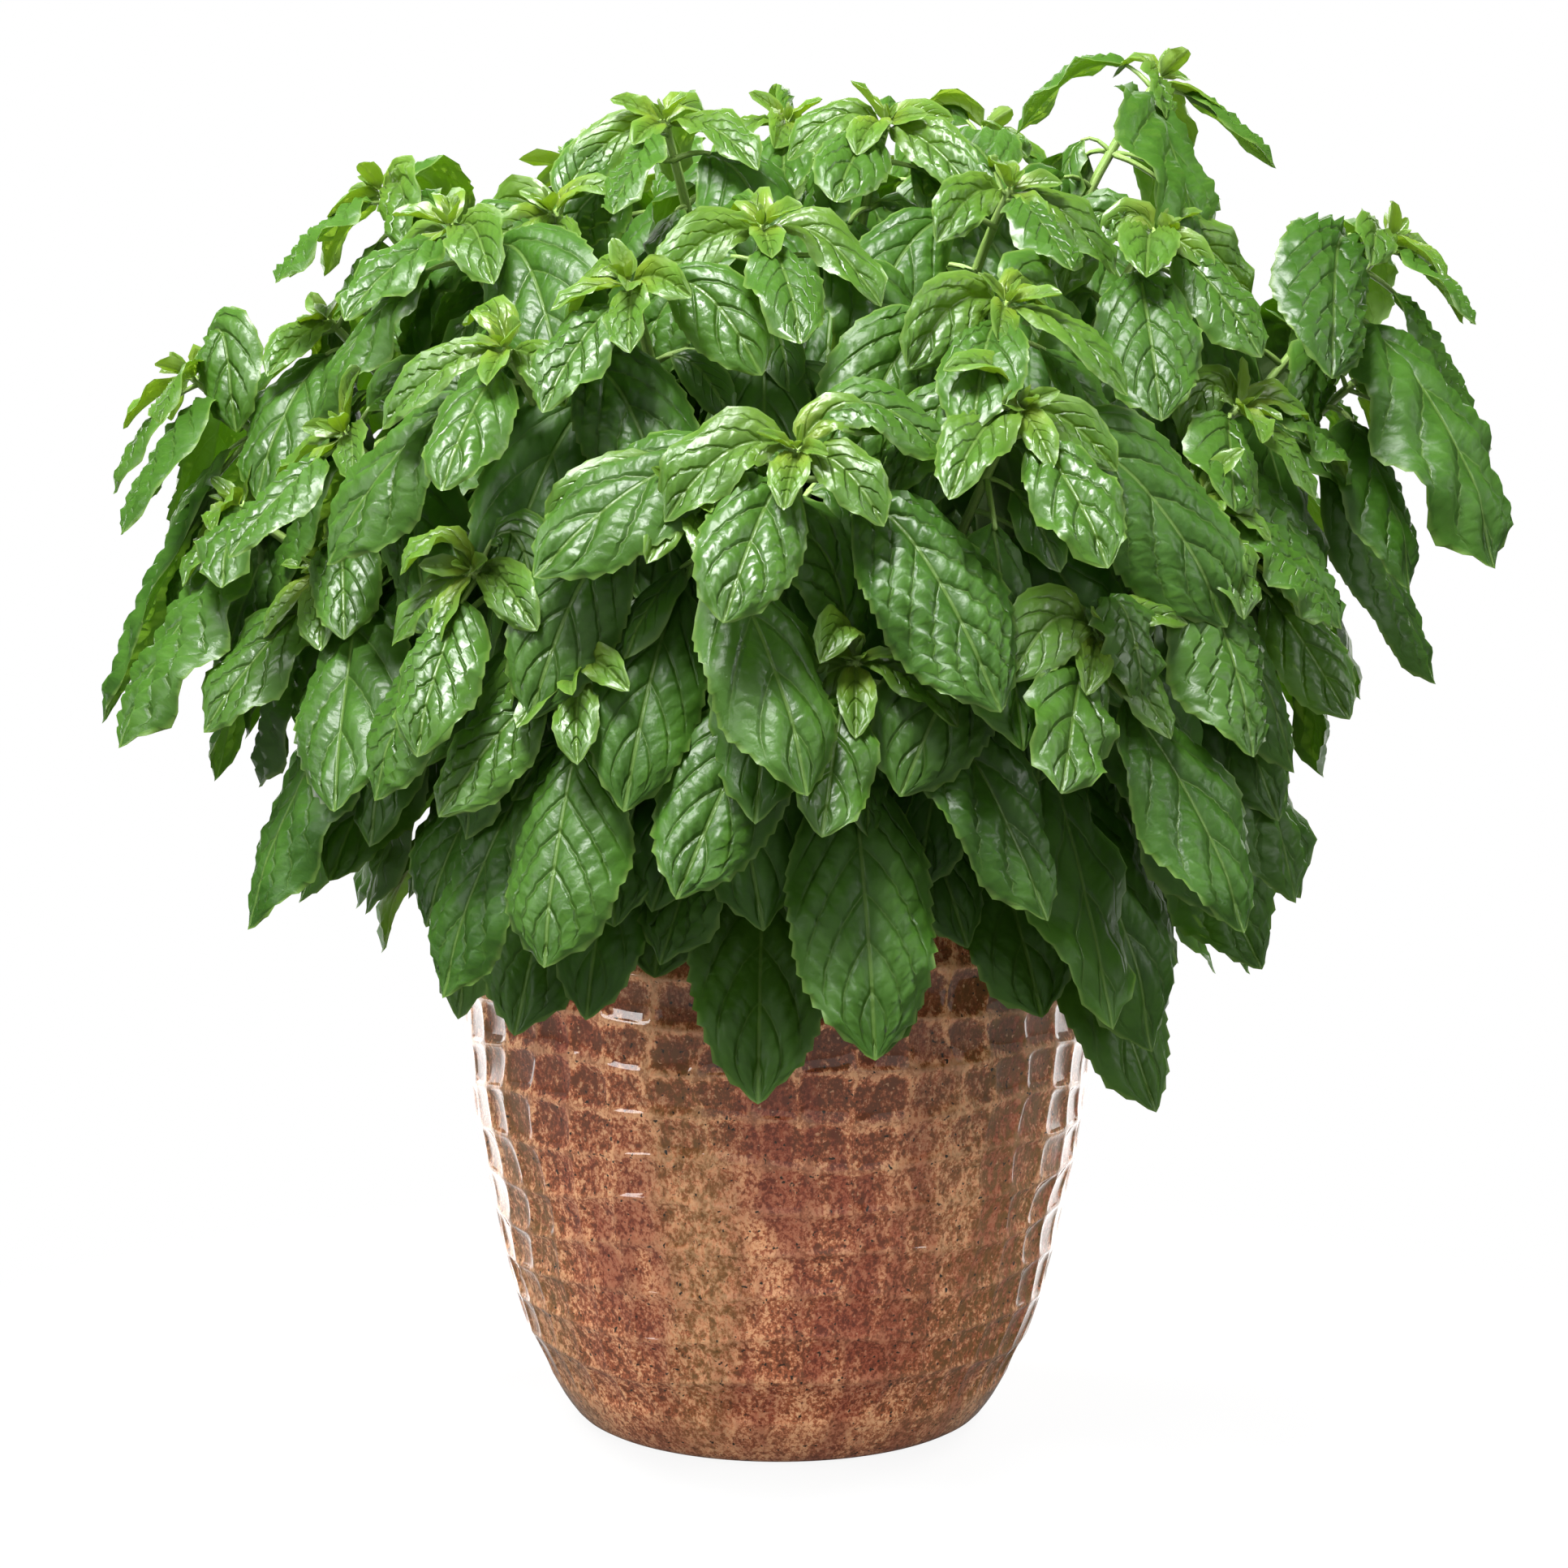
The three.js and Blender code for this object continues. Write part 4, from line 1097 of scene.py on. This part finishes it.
def soil_material():
    m = new_material("potting_mix")
    where = m.object_place()
    chance, _, _ = m.parts(m.read("tone"))
    lump = m.noise(where, 260, 4, 0.65)
    fine = m.noise(where, 900, 3, 0.6)
    tone = m.mix(m.ramp(lump, 0.35, 0.65), (0.012, 0.008, 0.005), (0.05, 0.032, 0.02))
    tone = m.mix(m.times(m.ramp(chance, 0.5, 1), 0.7), tone, (0.11, 0.062, 0.034))
    tone = m.mix(m.ramp(fine, 0.7, 0.78), tone, (0.3, 0.27, 0.22))
    height = m.plus(lump, m.times(fine, 0.5))
    return m.finish(m.skin(tone, m.ramp(lump, 0.3, 0.7, 0.75, 0.95), height, 0.002))


# Build
shoots, stems, leaves, missed, crowd = grow_plant()
leaves += grow_fill(shoots, missed, crowd)
plant_materials = [leaf_material("leaf_upper", False), leaf_material("leaf_under", True), stem_material()]
for stem in stems:
    parts = Parts()
    base, fork = stem["base"], stem["fork"]
    foot = base + (fork - base) * ((SOIL_TOP - 5 - STEM_FOOT) / (fork[2] - STEM_FOOT))
    line = [foot + (fork - foot) * (k / 8) for k in range(9)]
    tube(parts, line, np.linspace(STEM_RADIUS, STEM_RADIUS * 0.86, 9), 12, [1.0, 0.3, 0.2], 0.07)
    for shoot in [s for s in shoots if s["stem"] == stem["id"]]:
        radii = np.linspace(SHOOT_RADIUS * 1.15, SHOOT_RADIUS * 0.62, LEAF_STEPS + 1)
        tube(parts, shoot["curve"], radii, 8, [0.9, 0.5, 0.4], 0.1)
    for k, leaf in enumerate(leaves):
        if leaf["stem"] == stem["id"]:
            add_leaf(parts, leaf, 5000 + k)
    piece = parts.build(f"basil_{stem['id'] + 1:02d}", plant_materials)
    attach(piece, "root")
    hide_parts(f"stem_{stem['id'] + 1:02d}")

pot = build_pot([glaze_material()])
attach(pot, "root")
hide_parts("pot")
soil = build_soil([soil_material()])
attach(soil, "root")
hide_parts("soil")


# Stage
FLOOR_RADIUS = 4.0
FLOOR_DROP = 0.0003
# Lamps: name, place, target, width, height, power, and whether glossy faces mirror it
LAMPS = [
    ["top", (-0.3, -0.75, 1.5), (0, 0, 0.3), 0.5, 0.5, 58, True],
    ["front", (0.3, -2.4, 0.8), (0, 0, 0.2), 3.0, 2.0, 10.5, True],
    ["left_rear", (-1.0, 0.75, 1.3), (-0.1, 0, 0.35), 0.6, 0.9, 34, False],
    ["right_rear", (1.05, 0.8, 1.25), (0.1, 0, 0.35), 0.6, 0.9, 33, False],
    ["left_front", (-1.5, -1.1, 0.9), (0, 0, 0.3), 0.5, 1.0, 14, True],
    ["right_front", (1.6, -0.9, 1.1), (0, 0, 0.3), 0.4, 0.9, 12, True],
]
# The photograph's side and the camera's focal length, in the photograph's pixels
PHOTO_SIDE = 1932
FOCAL_PIXELS = 3167
SENSOR_WIDTH = 36
CAMERA_PLACE = (0.0018, -0.950, 0.283)
CAMERA_DIP = 3.1


def add_floor():
    """A round white floor that glows: plain white where the camera sees it, with only a faint shadow near
    the pot, bright behind the pot for what glossy faces mirror, and dim for the rest.
    """
    rim = ring(FLOOR_RADIUS, 0, 96).tolist()
    mesh = bpy.data.meshes.new("floor")
    mesh.from_pydata(rim, [], [tuple(range(len(rim)))])
    floor = bpy.data.objects.new("floor", mesh)
    bpy.context.scene.collection.objects.link(floor)
    floor.location.z = -FLOOR_DROP
    m = new_material("white_floor")
    x, y, _ = m.parts(m.object_place())
    away = m.math("SQRT", m.plus(m.times(x, x), m.times(y, y)))
    path = m.put("ShaderNodeLightPath")
    seen, mirrored = path.outputs["Is Camera Ray"], path.outputs["Is Glossy Ray"]
    paint = m.put("ShaderNodeBsdfDiffuse", Color=m.mix(seen, (0.35, 0.34, 0.32), (0.8, 0.8, 0.8)))
    aside = m.most(m.math("SUBTRACT", m.math("ABSOLUTE", x), 0.1), 0.0)
    behind = m.ramp(m.math("SUBTRACT", y, m.times(aside, 0.55)), 0.0, 0.12, 0.06, 3.0)
    level = m.mix_value(mirrored, m.plus(m.times(seen, 0.7), 0.3), behind)
    white = m.put("ShaderNodeEmission", Color=(1, 1, 1), Strength=level)
    share = m.most(m.times(seen, m.ramp(away, 0.1, 0.4, 0.9, 1)), m.math("SUBTRACT", 0.7, seen))
    mesh.materials.append(m.finish(m.blend(share, paint, white)))


def add_world():
    """White where the camera sees it, bright behind for what glossy faces mirror, and dim for the rest."""
    m = Shade(bpy.data.worlds.new("studio"))
    path = m.put("ShaderNodeLightPath")
    x, y, _ = m.parts(m.put("ShaderNodeTexCoord").outputs["Generated"])
    wall = m.ramp(y, 0.68, 0.8, 0.08, 4.6)
    sides = m.ramp(m.math("ABSOLUTE", x), 0.7, 1.0, 0.0, 0.35)
    level = m.mix_value(path.outputs["Is Glossy Ray"], 0.25, m.plus(wall, sides))
    soft = m.put("ShaderNodeBackground", Color=(1.0, 0.99, 0.96), Strength=level)
    white = m.put("ShaderNodeBackground", Color=(1, 1, 1), Strength=1.0)
    world = m.finish(m.blend(path.outputs["Is Camera Ray"], soft, white), "ShaderNodeOutputWorld")
    bpy.context.scene.world = world


def add_lamp(name, place, target, width, height, power, mirrored):
    light = bpy.data.lights.new(name, "AREA")
    light.shape = "RECTANGLE"
    light.size, light.size_y = width, height
    light.energy = power
    lamp = bpy.data.objects.new(name, light)
    lamp.location = place
    lamp.visible_camera = False
    lamp.visible_glossy = mirrored
    lamp.rotation_euler = (Vector(target) - Vector(place)).to_track_quat("-Z", "Y").to_euler()
    bpy.context.scene.collection.objects.link(lamp)


def add_camera():
    view = bpy.data.cameras.new("photo_view")
    view.lens = SENSOR_WIDTH * FOCAL_PIXELS / PHOTO_SIDE
    camera = bpy.data.objects.new("photo_view", view)
    camera.location = CAMERA_PLACE
    camera.rotation_euler = (math.radians(90 - CAMERA_DIP), 0, 0)
    bpy.context.scene.collection.objects.link(camera)
    bpy.context.scene.camera = camera


add_floor()
add_world()
for lamp in LAMPS:
    add_lamp(*lamp)
add_camera()
bpy.context.scene.view_settings.view_transform = "Standard"
